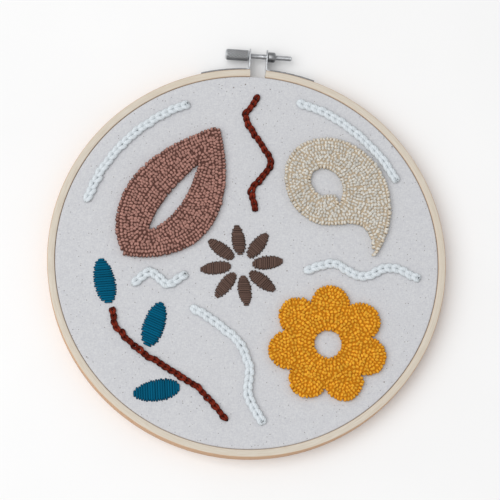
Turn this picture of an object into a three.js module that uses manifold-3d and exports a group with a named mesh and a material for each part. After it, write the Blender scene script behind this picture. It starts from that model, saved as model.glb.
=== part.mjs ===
// Hoop embroidery art: a wooden embroidery hoop that holds a stretched round of cloth, worked with
// looped pile, satin stitch and chain stitch. It lies on its back: +Z is the side that is looked at,
// +Y points to the tightening screw. The origin is under the middle of its bounding box.

import * as THREE from 'three';
import { mergeVertices } from 'three/addons/utils/BufferGeometryUtils.js';
import Module from 'manifold-3d';

const wasm = await Module();
wasm.setup();

// Driving dimensions, in millimetres
const CLEAR = 0.3; // between any two pieces
const PAST = 2; // how far a cutter reaches past what it cuts

const HOOP = { radius: 104.5, thick: 3.9, depth: 10, edge: 0.5, split: 8.5, facets: 72 };
const INNER_THICK = 4;
const CLOTH = { thick: 1, drop: 0.3, trim: 0.6, edge: 0.4 }; // drop: of its face below the outer ring's

const STRAP = { thick: 0.7, width: 8, arc: 26.5, steps: 8 };
const EAR = { rise: 13.3, steps: 10 }; // rise: above the outside of the ring
const SCREW = { lift: 9.3, radius: 1.45, head: 3, headLength: 12.6, tail: 9, edge: 0.5, facets: 24 };
const SCREW_TIP = { length: 0.9, shoulder: 0.6, radius: 1 }; // its rounded end, in two slopes
const NUT = { radius: 2.75, length: 4, edge: 0.6 };
const RIVET = { radius: 1.1, sunk: 1.7, proud: 0.2, along: 15, facets: 12 };

const PILE_HEIGHT = 3.2;
const SATIN_HEIGHT = 1.3;

// Sizes that follow from them
const outerInside = HOOP.radius - HOOP.thick;
const clothRadius = outerInside - CLEAR;
const clothTop = HOOP.depth - CLOTH.drop;
const innerRadius = clothRadius - CLOTH.thick - CLEAR;
const innerInside = innerRadius - INNER_THICK;
const innerTop = clothTop - CLOTH.thick - CLEAR;
const stitchBase = clothTop + CLEAR;
const strapInside = HOOP.radius + CLEAR;
const earInside = HOOP.split / 2;
const earOutside = earInside + STRAP.thick;
const earTop = HOOP.radius + EAR.rise;
const screwY = HOOP.radius + SCREW.lift;
const screwZ = HOOP.depth / 2;
const holeRadius = SCREW.radius + CLEAR;

// Finishes
function finish(color, roughness, metalness = 0) {
  return new THREE.MeshStandardMaterial({ color, roughness, metalness });
}

const wood = finish(0xd9cdb8, 0.55);
const steel = finish(0x9a9da0, 0.35, 1);
const linen = finish(0xcdcdd0, 0.95);
const yarn = {
  mustard: finish(0xdf9c25, 0.9),
  pink: finish(0x9d6a60, 0.9),
  beige: finish(0xd6c9b2, 0.9),
  teal: finish(0x004f70, 0.6),
  brown: finish(0x554239, 0.6),
  rust: finish(0x6b2618, 0.8),
  white: finish(0xe2e8ea, 0.85),
};

// Work on solids

const radians = THREE.MathUtils.degToRad;

function toSolid(geometry) {
  const bare = geometry.index ? geometry.toNonIndexed() : geometry.clone();
  bare.deleteAttribute('normal');
  bare.deleteAttribute('uv');
  const merged = mergeVertices(bare, 1e-4);
  return new wasm.Manifold(new wasm.Mesh({
    numProp: 3,
    vertProperties: new Float32Array(merged.attributes.position.array),
    triVerts: new Uint32Array(merged.index.array),
  }));
}

function toGeometry(solid) {
  const mesh = solid.getMesh();
  const geometry = new THREE.BufferGeometry();
  geometry.setAttribute('position', new THREE.BufferAttribute(mesh.vertProperties, 3));
  geometry.setIndex(new THREE.BufferAttribute(mesh.triVerts, 1));
  geometry.computeVertexNormals();
  return geometry;
}

function block(low, high) {
  const size = high.map((value, i) => value - low[i]);
  const middle = high.map((value, i) => (value + low[i]) / 2);
  return new THREE.BoxGeometry(...size).translate(...middle);
}

// A solid of revolution about Z, from [radius, height] pairs that run round its section.
function turnedZ(section, facets) {
  const points = section.map(([radius, height]) => new THREE.Vector2(radius, height));
  return new THREE.LatheGeometry(points, facets).rotateX(Math.PI / 2);
}

// The same about the screw's axis, with heights measured along X.
function turnedOnScrew(section) {
  const points = section.map(([radius, x]) => new THREE.Vector2(radius, x));
  return new THREE.LatheGeometry(points, SCREW.facets).rotateZ(-Math.PI / 2).translate(0, screwY, screwZ);
}

// The two wooden rings and the cloth between them

function ringSection(inside, outside, top) {
  const e = HOOP.edge;
  return [
    [inside, e], [inside + e, 0], [outside - e, 0], [outside, e],
    [outside, top - e], [outside - e, top], [inside + e, top], [inside, top - e], [inside, e],
  ];
}

// A round peg whose axis runs out from the hoop's middle, towards one of the two rivets.
function rivetPeg(side, radius, from, to) {
  const peg = new THREE.CylinderGeometry(radius, radius, to - from, RIVET.facets);
  peg.translate(0, (from + to) / 2, 0);
  return peg.rotateZ(-side * RIVET.along / strapInside).translate(0, 0, screwZ);
}

function rivetHole(side) {
  const bottom = HOOP.radius - RIVET.sunk - CLEAR;
  const top = strapInside + STRAP.thick + PAST;
  return toSolid(rivetPeg(side, RIVET.radius + CLEAR, bottom, top));
}

function outerRing() {
  const ring = toSolid(turnedZ(ringSection(outerInside, HOOP.radius, HOOP.depth), HOOP.facets));
  const low = [-HOOP.split / 2, outerInside - PAST, -PAST];
  const high = [HOOP.split / 2, HOOP.radius + PAST, HOOP.depth + PAST];
  const split = toSolid(block(low, high));
  return toGeometry(ring.subtract(split).subtract(rivetHole(-1)).subtract(rivetHole(1)));
}

function innerRing() {
  return turnedZ(ringSection(innerInside, innerRadius, innerTop), HOOP.facets);
}

// One round of cloth: its face, and the edge turned down between the rings and trimmed there.
function clothSection() {
  const { thick, trim, edge } = CLOTH;
  const wall = innerRadius + CLEAR;
  return [
    [0, clothTop - thick], [wall, clothTop - thick], [wall, trim], [clothRadius, trim],
    [clothRadius, clothTop - edge], [clothRadius - edge, clothTop], [0, clothTop],
  ];
}

// The steel fittings at the split

// Side -1 is the left fitting, 1 the right: a strap along the ring, turned out into an ear for the screw.
function strapOutline(side) {
  const outside = strapInside + STRAP.thick;
  const first = Math.asin(earInside / strapInside);
  const last = first + STRAP.arc / strapInside;
  const points = [[earInside, earTop], [earOutside, earTop]];
  for (let i = 0; i <= STRAP.steps; i += 1) {
    const angle = Math.asin(earOutside / outside) * (1 - i / STRAP.steps) + last * (i / STRAP.steps);
    points.push([outside * Math.sin(angle), outside * Math.cos(angle)]);
  }
  for (let i = STRAP.steps; i >= 0; i -= 1) {
    const angle = first * (1 - i / STRAP.steps) + last * (i / STRAP.steps);
    points.push([strapInside * Math.sin(angle), strapInside * Math.cos(angle)]);
  }
  return points.map(([x, y]) => new THREE.Vector2(side * x, y));
}

// The room under the ear's round top, as a plate seen along X.
function earEnvelope() {
  const half = STRAP.width / 2;
  const shape = new THREE.Shape();
  shape.moveTo(-half, 0);
  shape.lineTo(half, 0);
  shape.lineTo(half, earTop - half);
  shape.absarc(0, earTop - half, half, 0, Math.PI, false);
  shape.lineTo(-half, 0);
  const reach = STRAP.arc + earOutside + PAST;
  const across = { depth: 2 * reach, bevelEnabled: false, curveSegments: EAR.steps };
  const plate = new THREE.ExtrudeGeometry(shape, across);
  return plate.translate(0, 0, -reach).rotateY(Math.PI / 2).translate(0, 0, screwZ);
}

function fitting(side) {
  const shape = new THREE.Shape(strapOutline(side));
  const bent = new THREE.ExtrudeGeometry(shape, { depth: STRAP.width, bevelEnabled: false });
  bent.translate(0, 0, screwZ - STRAP.width / 2);
  const reach = earOutside + PAST;
  const bore = turnedOnScrew([[0, -reach], [holeRadius, -reach], [holeRadius, reach], [0, reach]]);
  const rounded = toSolid(bent).intersect(toSolid(earEnvelope()));
  return toGeometry(rounded.subtract(toSolid(bore)).subtract(rivetHole(side)));
}

function rivet(side) {
  return rivetPeg(side, RIVET.radius, HOOP.radius - RIVET.sunk, strapInside + STRAP.thick + RIVET.proud);
}

function screw() {
  const { radius, head, edge } = SCREW;
  const headEnd = -earOutside - CLEAR;
  const headStart = headEnd - SCREW.headLength;
  const tailEnd = earOutside + CLEAR + NUT.length + SCREW.tail;
  const tip = tailEnd - SCREW_TIP.length;
  return turnedOnScrew([
    [0, headStart], [head - edge, headStart], [head, headStart + edge],
    [head, headEnd - edge], [head - edge, headEnd], [radius, headEnd],
    [radius, tip], [SCREW_TIP.radius, tip + SCREW_TIP.shoulder], [0, tailEnd],
  ]);
}

function nut() {
  const start = earOutside + CLEAR;
  const end = start + NUT.length;
  return turnedOnScrew([
    [holeRadius, start], [NUT.radius, start], [NUT.radius, end - NUT.edge], [NUT.radius - NUT.edge, end],
    [holeRadius, end], [holeRadius, start],
  ]);
}

// Outlines of the worked shapes. Each takes an inset, so that rounded sides can be laid up level by level.

function around(steps, pointAt) {
  return Array.from({ length: steps }, (_, i) => pointAt((i / steps) * 2 * Math.PI));
}

function rotated([x, y], angle) {
  return [x * Math.cos(angle) - y * Math.sin(angle), x * Math.sin(angle) + y * Math.cos(angle)];
}

function roundShape({ radius, steps }, inset) {
  return around(steps, (t) => rotated([radius - inset, 0], t));
}

function flowerShape({ petals, valley, tip, roundness, steps }, inset) {
  return around(steps, (t) => {
    const swell = Math.abs(Math.sin((petals * t) / 2)) ** roundness;
    return rotated([valley - inset + (tip - valley) * swell, 0], t);
  });
}

// A leaf along X, fuller towards its left end, on a centre line that bows sideways over the given span.
// Its ends are round where point is 1 and pointed where it is 2.
function leafShape({ length, width, fullness, point, bow, span, steps }, inset) {
  const edge = (share, side) => {
    const x = -(length / 2 - inset) * Math.cos(Math.PI * share);
    const middle = bow * (1 - ((2 * x) / span) ** 2);
    return [x, middle + side * (width / 2 - inset) * Math.sin(Math.PI * share ** fullness) ** point];
  };
  const lower = Array.from({ length: steps }, (_, i) => edge(i / steps, -1));
  const upper = Array.from({ length: steps }, (_, i) => edge(1 - i / steps, 1));
  return [...lower, ...upper];
}

// A drop whose round head lies about the origin, its tail bent round into a paisley. Dividing by the
// curve's own peak makes the width a real one, to which the tail's half thickness adds a little.
function paisleyShape({ length, width, head, slimness, tail, turn, steps }, inset) {
  const peak = 2 * Math.sqrt((slimness + 1) ** (slimness + 1) / (slimness + 2) ** (slimness + 2));
  return around(steps, (t) => {
    const along = inset + (length - 2 * inset) * (0.5 + 0.5 * Math.cos(t));
    const half = ((width / 2 - inset) / peak) * Math.sin(t / 2) ** slimness + tail;
    return rotated([along - head, half * Math.sin(t)], radians(turn) * (along / length) ** 2);
  });
}

const SHAPES = { round: roundShape, flower: flowerShape, leaf: leafShape, paisley: paisleyShape };

function outlineAt({ form, sizes, at, turned = 0 }, inset) {
  return SHAPES[form](sizes, inset).map((point) => {
    const [x, y] = rotated(point, radians(turned));
    return new THREE.Vector2(at[0] + x, at[1] + y);
  });
}

// Raised work: a closed pad laid up from levels, each an inset and a height, with its bare middle if any.
function pad(outer, bare, levels) {
  const rings = levels.map(({ inset, height }) => ({
    z: stitchBase + height,
    outside: outlineAt(outer, inset),
    inside: bare ? outlineAt(bare, -inset).reverse() : [],
  }));
  const positions = [];
  for (const { z, outside, inside } of rings) {
    [...outside, ...inside].forEach(({ x, y }) => positions.push(x, y, z));
  }
  const outerCount = rings[0].outside.length;
  const count = outerCount + rings[0].inside.length;
  const faces = [];
  const band = (start, size) => {
    for (let level = 0; level < rings.length - 1; level += 1) {
      for (let i = 0; i < size; i += 1) {
        const a = level * count + start + i;
        const b = level * count + start + ((i + 1) % size);
        faces.push(a, b, b + count, a, b + count, a + count);
      }
    }
  };
  band(0, outerCount);
  if (bare) band(outerCount, count - outerCount);
  const cap = (level, flip) => {
    const { outside, inside } = rings[level];
    for (const [a, b, c] of THREE.ShapeUtils.triangulateShape(outside, bare ? [inside] : [])) {
      const corners = flip ? [c, b, a] : [a, b, c];
      corners.forEach((corner) => faces.push(level * count + corner));
    }
  };
  cap(0, true);
  cap(rings.length - 1, false);
  const geometry = new THREE.BufferGeometry();
  geometry.setAttribute('position', new THREE.Float32BufferAttribute(positions, 3));
  geometry.setIndex(faces);
  geometry.computeVertexNormals();
  return geometry;
}

const PILE_LEVELS = [
  { inset: 0.6, height: 0 },
  { inset: 0, height: 0.9 },
  { inset: 0, height: PILE_HEIGHT - 1.1 },
  { inset: 0.6, height: PILE_HEIGHT - 0.4 },
  { inset: 1.6, height: PILE_HEIGHT },
];

const SATIN_LEVELS = [
  { inset: 0.2, height: 0 },
  { inset: 0, height: 0.4 },
  { inset: 0.7, height: SATIN_HEIGHT - 0.3 },
  { inset: 2, height: SATIN_HEIGHT },
];

const FLOWER = { petals: 7, valley: 22.5, tip: 31, roundness: 0.7, steps: 84 };
const FLOWER_BARE = { radius: 7.5, steps: 24 };
const LEAF = { length: 86, width: 48, fullness: 0.88, point: 1.9, bow: -4, span: 86, steps: 22 };
const LEAF_BARE = { length: 46, width: 9, fullness: 0.88, point: 1.9, bow: -4, span: 86, steps: 12 };
const PAISLEY = { length: 68, width: 43, head: 19, slimness: 1.2, tail: 2.5, turn: -75, steps: 48 };
const PAISLEY_BARE = { length: 22, width: 14.5, head: 6.2, slimness: 1.2, tail: 0.6, turn: -75, steps: 24 };

const PILES = [
  {
    name: 'pile_flower',
    color: yarn.mustard,
    outer: { form: 'flower', sizes: FLOWER, at: [44, -43], turned: 12 },
    bare: { form: 'round', sizes: FLOWER_BARE, at: [44, -43] },
  },
  {
    name: 'pile_leaf',
    color: yarn.pink,
    outer: { form: 'leaf', sizes: LEAF, at: [-42, 34], turned: 58 },
    bare: { form: 'leaf', sizes: LEAF_BARE, at: [-43, 32], turned: 58 },
  },
  {
    name: 'pile_paisley',
    color: yarn.beige,
    outer: { form: 'paisley', sizes: PAISLEY, at: [37, 44], turned: 20 },
    bare: { form: 'paisley', sizes: PAISLEY_BARE, at: [37, 44], turned: 20 },
  },
];

// Satin stitch: three leaves of the sprig, and the eight petals of a daisy
const SPRIG_LEAF = { length: 24, width: 11, fullness: 0.92, point: 1.1, bow: 0, span: 24, steps: 12 };
const SPRIG_LEAVES = [
  { name: 'leaf_lower', at: [-43, -73], turned: 192 },
  { name: 'leaf_upper', at: [-46.4, -38.4], turned: 75 },
  { name: 'leaf_end', at: [-73.6, -17.2], turned: 104 },
];
const DAISY = { at: [-3, -4], petals: 8, turned: 10, reach: 13.7 };
const DAISY_PETAL = { length: 16, width: 7, fullness: 0.92, point: 1.1, bow: 0, span: 16, steps: 8 };

function daisyPetal(index) {
  const turned = DAISY.turned + (index * 360) / DAISY.petals;
  const [x, y] = rotated([DAISY.reach, 0], radians(turned));
  return { form: 'leaf', sizes: DAISY_PETAL, at: [DAISY.at[0] + x, DAISY.at[1] + y], turned };
}

// Chain stitch: a row of links, each a puffed drop. A station gives its place in the link's pitch, its
// share of the full width and its share of the full height.
const LINK_STATIONS = [
  { at: 0, width: 0.58, height: 0.6 },
  { at: 0.4, width: 0.92, height: 0.95 },
  { at: 0.75, width: 1, height: 1 },
];
const LINK_SECTION = [[-0.5, 0], [0.5, 0], [0.4, 0.65], [0, 1], [-0.4, 0.65]];
const RUST_LINK = { pitch: 3.3, width: 3.4, height: 1.8, color: yarn.rust };
const WHITE_LINK = { pitch: 3.8, width: 5, height: 2.2, color: yarn.white };
const ARC_STEPS = 5;

function arc(radius, from, to) {
  const angles = Array.from({ length: ARC_STEPS + 1 }, (_, i) => from + ((to - from) * i) / ARC_STEPS);
  return angles.map((angle) => rotated([radius, 0], radians(angle)));
}

const CHAINS = [
  {
    name: 'chain_stem',
    link: RUST_LINK,
    path: [[-6, -86], [-20, -72], [-36, -62], [-54, -52], [-65, -42], [-69, -32]],
  },
  {
    name: 'chain_tendril',
    link: RUST_LINK,
    path: [[1, 90], [-5, 77], [3, 64], [9, 52], [1, 38], [2, 26]],
  },
  {
    name: 'chain_wave',
    link: WHITE_LINK,
    path: [[30, -5], [45, 0], [60, -6], [75, 0], [90, -5]],
  },
  {
    name: 'chain_scroll',
    link: WHITE_LINK,
    path: [[-28, -28], [-14, -36], [-2, -46], [4, -58], [4, -72], [12, -86]],
  },
  {
    name: 'chain_ripple',
    link: WHITE_LINK,
    path: [[-59, -18], [-50, -11], [-41, -17], [-32, -11]],
  },
  { name: 'chain_left_arc', link: WHITE_LINK, path: arc(90, 164, 114) },
  { name: 'chain_right_arc', link: WHITE_LINK, path: arc(90.5, 76, 32) },
];

function chain({ path, link }) {
  const points = path.map(([x, y]) => new THREE.Vector3(x, y, stitchBase));
  const curve = new THREE.CatmullRomCurve3(points, false, 'catmullrom', 0.5);
  const links = Math.round(curve.getLength() / link.pitch);
  const stations = [];
  for (let i = 0; i < links; i += 1) {
    LINK_STATIONS.forEach((station) => stations.push({ ...station, at: (i + station.at) / links }));
  }
  stations.push({ ...LINK_STATIONS[0], at: 1 });
  const positions = [];
  for (const { at, width, height } of stations) {
    const middle = curve.getPointAt(at);
    const ahead = curve.getTangentAt(at);
    for (const [side, up] of LINK_SECTION) {
      const offset = side * width * link.width;
      positions.push(middle.x - ahead.y * offset, middle.y + ahead.x * offset);
      positions.push(middle.z + up * height * link.height);
    }
  }
  const size = LINK_SECTION.length;
  const faces = [];
  for (let s = 0; s < stations.length - 1; s += 1) {
    for (let i = 0; i < size; i += 1) {
      const a = s * size + i;
      const b = s * size + ((i + 1) % size);
      faces.push(a, b, b + size, a, b + size, a + size);
    }
  }
  const last = (stations.length - 1) * size;
  for (let i = 1; i < size - 1; i += 1) {
    faces.push(0, i + 1, i, last, last + i, last + i + 1);
  }
  const geometry = new THREE.BufferGeometry();
  geometry.setAttribute('position', new THREE.Float32BufferAttribute(positions, 3));
  geometry.setIndex(faces);
  geometry.computeVertexNormals();
  return geometry;
}

// The whole piece

const hoopArt = new THREE.Group();

function place(name, geometry, material) {
  const mesh = new THREE.Mesh(geometry, material);
  mesh.name = name;
  hoopArt.add(mesh);
}

place('inner_ring', innerRing(), wood);
place('outer_ring', outerRing(), wood);
place('cloth', turnedZ(clothSection(), HOOP.facets), linen);

for (const [side, word] of [[-1, 'left'], [1, 'right']]) {
  place(`strap_${word}`, fitting(side), steel);
  place(`rivet_${word}`, rivet(side), steel);
}
place('screw', screw(), steel);
place('nut', nut(), steel);

for (const { name, color, outer, bare } of PILES) place(name, pad(outer, bare, PILE_LEVELS), color);
for (const { name, at, turned } of SPRIG_LEAVES) {
  place(name, pad({ form: 'leaf', sizes: SPRIG_LEAF, at, turned }, null, SATIN_LEVELS), yarn.teal);
}
for (let i = 0; i < DAISY.petals; i += 1) {
  place(`petal_${i + 1}`, pad(daisyPetal(i), null, SATIN_LEVELS), yarn.brown);
}
for (const row of CHAINS) place(row.name, chain(row), row.link.color);

// The ears reach past the ring, so the middle of the box lies above the hoop's own centre.
hoopArt.position.y = -(earTop - HOOP.radius) / 2;

export default hoopArt;
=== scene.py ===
# %% [markdown]
# # Hoop embroidery art
# A round of cotton cloth is stretched in a wooden embroidery hoop and worked in thick yarn: looped pile,
# satin stitch and chain stitch. The solid model gives every piece its size and place. This lesson
# dresses each of them: first the camera, then the finishes, then the hoop, its steel fittings, the cloth
# and, last, the needlework, stitch by stitch.

# %% Load the frame
import math

import bpy
import numpy as np
from mathutils import Matrix, Vector


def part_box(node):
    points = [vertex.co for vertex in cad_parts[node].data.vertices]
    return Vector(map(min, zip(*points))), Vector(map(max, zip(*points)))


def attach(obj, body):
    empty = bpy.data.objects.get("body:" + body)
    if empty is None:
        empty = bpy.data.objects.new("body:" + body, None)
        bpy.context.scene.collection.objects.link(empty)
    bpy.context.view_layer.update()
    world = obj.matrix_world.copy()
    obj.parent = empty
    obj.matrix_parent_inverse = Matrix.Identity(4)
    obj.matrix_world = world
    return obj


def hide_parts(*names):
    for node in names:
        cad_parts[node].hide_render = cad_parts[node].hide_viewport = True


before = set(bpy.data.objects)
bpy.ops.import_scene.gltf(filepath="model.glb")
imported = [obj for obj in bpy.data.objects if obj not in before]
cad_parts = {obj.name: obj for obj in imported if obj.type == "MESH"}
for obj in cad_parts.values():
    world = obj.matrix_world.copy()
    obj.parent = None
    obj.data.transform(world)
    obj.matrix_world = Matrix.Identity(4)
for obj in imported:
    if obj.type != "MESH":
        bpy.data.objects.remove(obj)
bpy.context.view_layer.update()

# %% [markdown]
# ## Sizes
# All work on the piece is laid out in millimetres from the middle of the hoop, with the table at height
# zero. The sizes could be typed in again, but they are read from the solids, so that a change there
# moves everything here. Only the thickness of the wood and of the real cotton is given, since no box
# shows it.

# %% Sizes read from the solids
MM = 0.001

cloth_low, cloth_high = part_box("cloth")
hub = Vector(((cloth_low.x + cloth_high.x) / 2, (cloth_low.y + cloth_high.y) / 2, 0))


def in_mm(node):
    """The lowest and highest corner of a solid, in millimetres from the middle of the hoop."""
    low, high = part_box(node)
    return (low - hub) / MM, (high - hub) / MM


RING_OUT, RING_TOP = in_mm("outer_ring")[1].x, in_mm("outer_ring")[1].z
RING_THICK = 3.9
INNER_OUT, INNER_TOP = in_mm("inner_ring")[1].x, in_mm("inner_ring")[1].z
INNER_THICK = 4.0
CLOTH_OUT, FACE = in_mm("cloth")[1].x, in_mm("cloth")[1].z
CLOTH_THICK = 0.5
SPLIT_HALF = in_mm("strap_right")[0].x
print(f"hoop {2 * RING_OUT:.1f} mm across, {RING_TOP:.1f} mm deep, cloth face at {FACE:.1f} mm")

# %% [markdown]
# ## Camera
# The picture was taken from almost straight above the hoop's face, a little towards its lower side, and
# turned a little, so the circle shows as a slightly flattened ellipse. The camera could be turned by
# hand until the picture fits. Here it gets three angles instead, found by matching the rim's ellipse and
# the screw's ends, because an angle can be read and corrected. It is set first, as every later step is
# judged through it.

# %% The camera
CAMERA_TURN = math.radians(-11.57)
CAMERA_RISE = math.radians(75.25)
CAMERA_ROLL = math.radians(15.11)
CAMERA_DISTANCE = 1.0
CAMERA_AIM = (0.93, 4.5, 10.0)
PICTURE_SIDE = 500
FOCAL_PIXELS = 1910


def picture_axes():
    """Right, up and backward directions of a camera at the photograph's angle."""
    turn, rise = CAMERA_TURN, CAMERA_RISE
    back = Vector((math.sin(turn) * math.cos(rise), -math.cos(turn) * math.cos(rise), math.sin(rise)))
    right = Vector((math.cos(turn), math.sin(turn), 0))
    up = back.cross(right)
    rolled_right = math.cos(CAMERA_ROLL) * right + math.sin(CAMERA_ROLL) * up
    return rolled_right, back.cross(rolled_right), back


def new_object(name, data):
    made = bpy.data.objects.new(name, data)
    bpy.context.scene.collection.objects.link(made)
    return made


def place_camera():
    right, up, back = picture_axes()
    data = bpy.data.cameras.new("camera")
    data.lens = data.sensor_width * FOCAL_PIXELS / PICTURE_SIDE
    camera = new_object("camera", data)
    aim = hub + Vector(CAMERA_AIM) * MM
    turned = Matrix((right, up, back)).transposed().to_4x4()
    camera.matrix_world = Matrix.Translation(aim + back * CAMERA_DISTANCE) @ turned
    bpy.context.scene.camera = camera
    print(f"camera: {data.lens:.0f} mm lens, {CAMERA_DISTANCE:.1f} m away")


place_camera()

# %% [markdown]
# ## Small helpers
# Operators work on whatever is selected, so each step starts by selecting one object alone. What is done
# to several pieces is written once: applying modifiers, giving a wall its thickness, smooth shading, and
# closing a mesh. A finished piece rides on a body of the model, has a slot for its material, and may
# stand for a solid. Its open edges are counted and printed, because a closed mesh is what a printer or a
# bake needs.

# %% Selecting
def select_only(piece):
    if bpy.context.mode != "OBJECT":
        bpy.ops.object.mode_set(mode="OBJECT")
    bpy.ops.object.select_all(action="DESELECT")
    piece.select_set(True)
    bpy.context.view_layer.objects.active = piece


def start_edit(piece):
    """Edit mode with all of one piece selected."""
    select_only(piece)
    bpy.ops.object.mode_set(mode="EDIT")
    bpy.ops.mesh.select_all(action="SELECT")


def apply_modifiers(piece):
    select_only(piece)
    for modifier in list(piece.modifiers):
        bpy.ops.object.modifier_apply(modifier=modifier.name)


# %% Shaping
MERGE_DISTANCE = 0.002


def give_thickness(piece, thickness, offset=0):
    """A wall of so many millimetres, with the surface in its middle, or on one side at an offset of 1."""
    wall = piece.modifiers.new("wall", "SOLIDIFY")
    wall.thickness = thickness * MM
    wall.offset = offset
    apply_modifiers(piece)


def shade_smooth(piece, degrees):
    """Smooth shading, but for the edges where faces meet at more than so many degrees."""
    select_only(piece)
    bpy.ops.object.shade_smooth_by_angle(angle=math.radians(degrees))


def close_mesh(piece):
    """Merges the seams of a rolled or swept mesh, fills its ends and points its faces outwards."""
    start_edit(piece)
    bpy.ops.mesh.remove_doubles(threshold=MERGE_DISTANCE * MM)
    bpy.ops.mesh.fill_holes(sides=0)
    bpy.ops.mesh.select_all(action="SELECT")
    bpy.ops.mesh.normals_make_consistent(inside=False)
    bpy.ops.object.mode_set(mode="OBJECT")


# %% Finishing
def open_edges(piece):
    """How many edges of a mesh don't have exactly two faces."""
    uses = np.zeros(len(piece.data.edges), int)
    for polygon in piece.data.polygons:
        for key in polygon.loop_indices:
            uses[piece.data.loops[key].edge_index] += 1
    return int((uses != 2).sum())


def finish_piece(piece, name, material, nodes=(), body="hoop"):
    piece.name = name
    piece.data.name = name
    piece.data.materials.clear()
    piece.data.materials.append(material)
    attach(piece, body)
    if nodes:
        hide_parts(*nodes)
    corners = len(piece.data.loops)
    print(f"{name}: {corners - 2 * len(piece.data.polygons)} triangles, {open_edges(piece)} open edges")


# %% [markdown]
# ## Finishes
# A finish is a small graph of nodes. Photographs could be wrapped round the pieces, but then every seam
# and stretch would show, and the pattern would have one size only. Noise and waves in real sizes fit any
# shape. Colours are given as a picture shows them, from 0 to 255, and turned into the light values that
# a shader works with. Constants sit directly on the shader's own sockets.

# %% Colours and nodes
def paint(red, green, blue):
    """A colour as a picture shows it, from 0 to 255, as light values by the usual screen curve."""
    shares = [value / 255 for value in (red, green, blue)]
    linear = [s / 12.92 if s <= 0.04045 else ((s + 0.055) / 1.055) ** 2.4 for s in shares]
    return (*linear, 1.0)


def add_node(tree, kind, inputs=None, **settings):
    made = tree.nodes.new(kind)
    for key, value in settings.items():
        setattr(made, key, value)
    for key, value in (inputs or {}).items():
        if isinstance(value, bpy.types.NodeSocket):
            tree.links.new(value, made.inputs[key])
        else:
            made.inputs[key].default_value = value
    return made


def new_finish(name, roughness, **constants):
    """A material with its principled shader, whose fixed values are set on its own sockets."""
    material = bpy.data.materials.new(name)
    material.use_nodes = True
    shader = material.node_tree.nodes["Principled BSDF"]
    shader.inputs["Roughness"].default_value = roughness
    for key, value in constants.items():
        shader.inputs[key.replace("_", " ")].default_value = value
    return material, material.node_tree, shader


def object_place(tree):
    return add_node(tree, "ShaderNodeTexCoord").outputs["Object"]


# %% Noise, blends and bumps
def speckle(tree, place, scale, detail=3.0, roughness=0.6):
    """Noise around one half. Its grains are counted in the units of the place that it is given."""
    node = add_node(tree, "ShaderNodeTexNoise", {"Vector": place, "Scale": scale, "Detail": detail,
                                                 "Roughness": roughness})
    return node.outputs["Fac"]


def blend_colours(tree, share, first, second):
    node = add_node(tree, "ShaderNodeMix", data_type="RGBA")
    sockets = (node.inputs["Factor"], node.inputs[6], node.inputs[7])
    for socket, value in zip(sockets, (share, first, second)):
        if isinstance(value, bpy.types.NodeSocket):
            tree.links.new(value, socket)
        else:
            socket.default_value = value
    return node.outputs[2]


def remap(tree, value, low, high, to_low=0.0, to_high=1.0):
    node = add_node(tree, "ShaderNodeMapRange", {"Value": value, "From Min": low, "From Max": high,
                                                 "To Min": to_low, "To Max": to_high})
    return node.outputs["Result"]


def calculate(tree, operation, first, second=0.0):
    node = add_node(tree, "ShaderNodeMath", {0: first, 1: second}, operation=operation)
    return node.outputs["Value"]


def raise_bump(tree, shader, height, depth, strength=1.0):
    """Roughens the surface by a height from 0 to 1, as deep as it says in millimetres."""
    sockets = {"Height": height, "Strength": strength, "Distance": depth * MM}
    bump = add_node(tree, "ShaderNodeBump", sockets)
    tree.links.new(bump.outputs["Normal"], shader.inputs["Normal"])


# %% [markdown]
# ### Wood
# Each ring is a thin strip of pale wood bent round and sanded. Its grain runs along the strip, so noise
# on straight axes would cut across it. Instead every corner of the mesh carries its own place along the
# strip, across it and up, in millimetres, and the noise is stretched along the first. The walls are
# darker and more tan than the sanded front edge: partly the wood's own tone, partly painted shade and
# warm bounced light on the sides.

# %% Wood finish
GRAIN = "grain"


def wood_finish():
    material, tree, shader = new_finish("pale_wood", 0.5, Specular_IOR_Level=0.35)
    place = add_node(tree, "ShaderNodeAttribute", attribute_name=GRAIN).outputs["Vector"]
    stretched = add_node(tree, "ShaderNodeMapping", {"Vector": place, "Scale": (0.05, 1.0, 1.0)}).outputs[0]
    streaks = speckle(tree, stretched, 2.2, 5.0, 0.65)
    grain = remap(tree, streaks, 0.35, 0.68)
    broad = speckle(tree, stretched, 0.35, 2.0)
    short = add_node(tree, "ShaderNodeMapping", {"Vector": place, "Scale": (0.35, 2.0, 2.0)}).outputs[0]
    pores = speckle(tree, short, 3.2, 2.0)
    face = blend_colours(tree, grain, paint(218, 210, 197), paint(202, 190, 172))
    face = blend_colours(tree, remap(tree, broad, 0.4, 0.7, 0.0, 0.4), face, paint(210, 196, 174))
    face = blend_colours(tree, remap(tree, pores, 0.66, 0.74, 0.0, 0.35), face, paint(168, 142, 114))
    # The walls' tan is partly the wood's own tone and partly painted shade with warm bounced light.
    wall = blend_colours(tree, grain, paint(208, 168, 130), paint(186, 142, 104))
    across = add_node(tree, "ShaderNodeSeparateXYZ", {0: place}).outputs["Y"]
    outer_wall = remap(tree, across, RING_OUT - 0.45, RING_OUT - 0.05)
    inner_edge = RING_OUT - RING_THICK
    inner_wall = remap(tree, across, inner_edge + 0.4, inner_edge + 0.1, 0.0, 0.5)
    colour = blend_colours(tree, calculate(tree, "MAXIMUM", outer_wall, inner_wall), face, wall)
    tree.links.new(colour, shader.inputs["Base Color"])
    raise_bump(tree, shader, streaks, 0.12, 0.5)
    return material


# %% [markdown]
# ### Steel
# The fittings are plated steel, bright but dulled in patches: a metal shader, with fine noise that
# changes how sharply it reflects. The hollows of the knurling and the thread are darkened with painted
# shade, the nut is painted darker all over for its shade and dark reflections, and the straps are a
# darker grey along the wood. Three materials could show that. One does, because each part carries a
# number of its own, from zero, where it is bright, to one in the depth of a groove.

# %% Steel finish
GROOVE = "groove"


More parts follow.
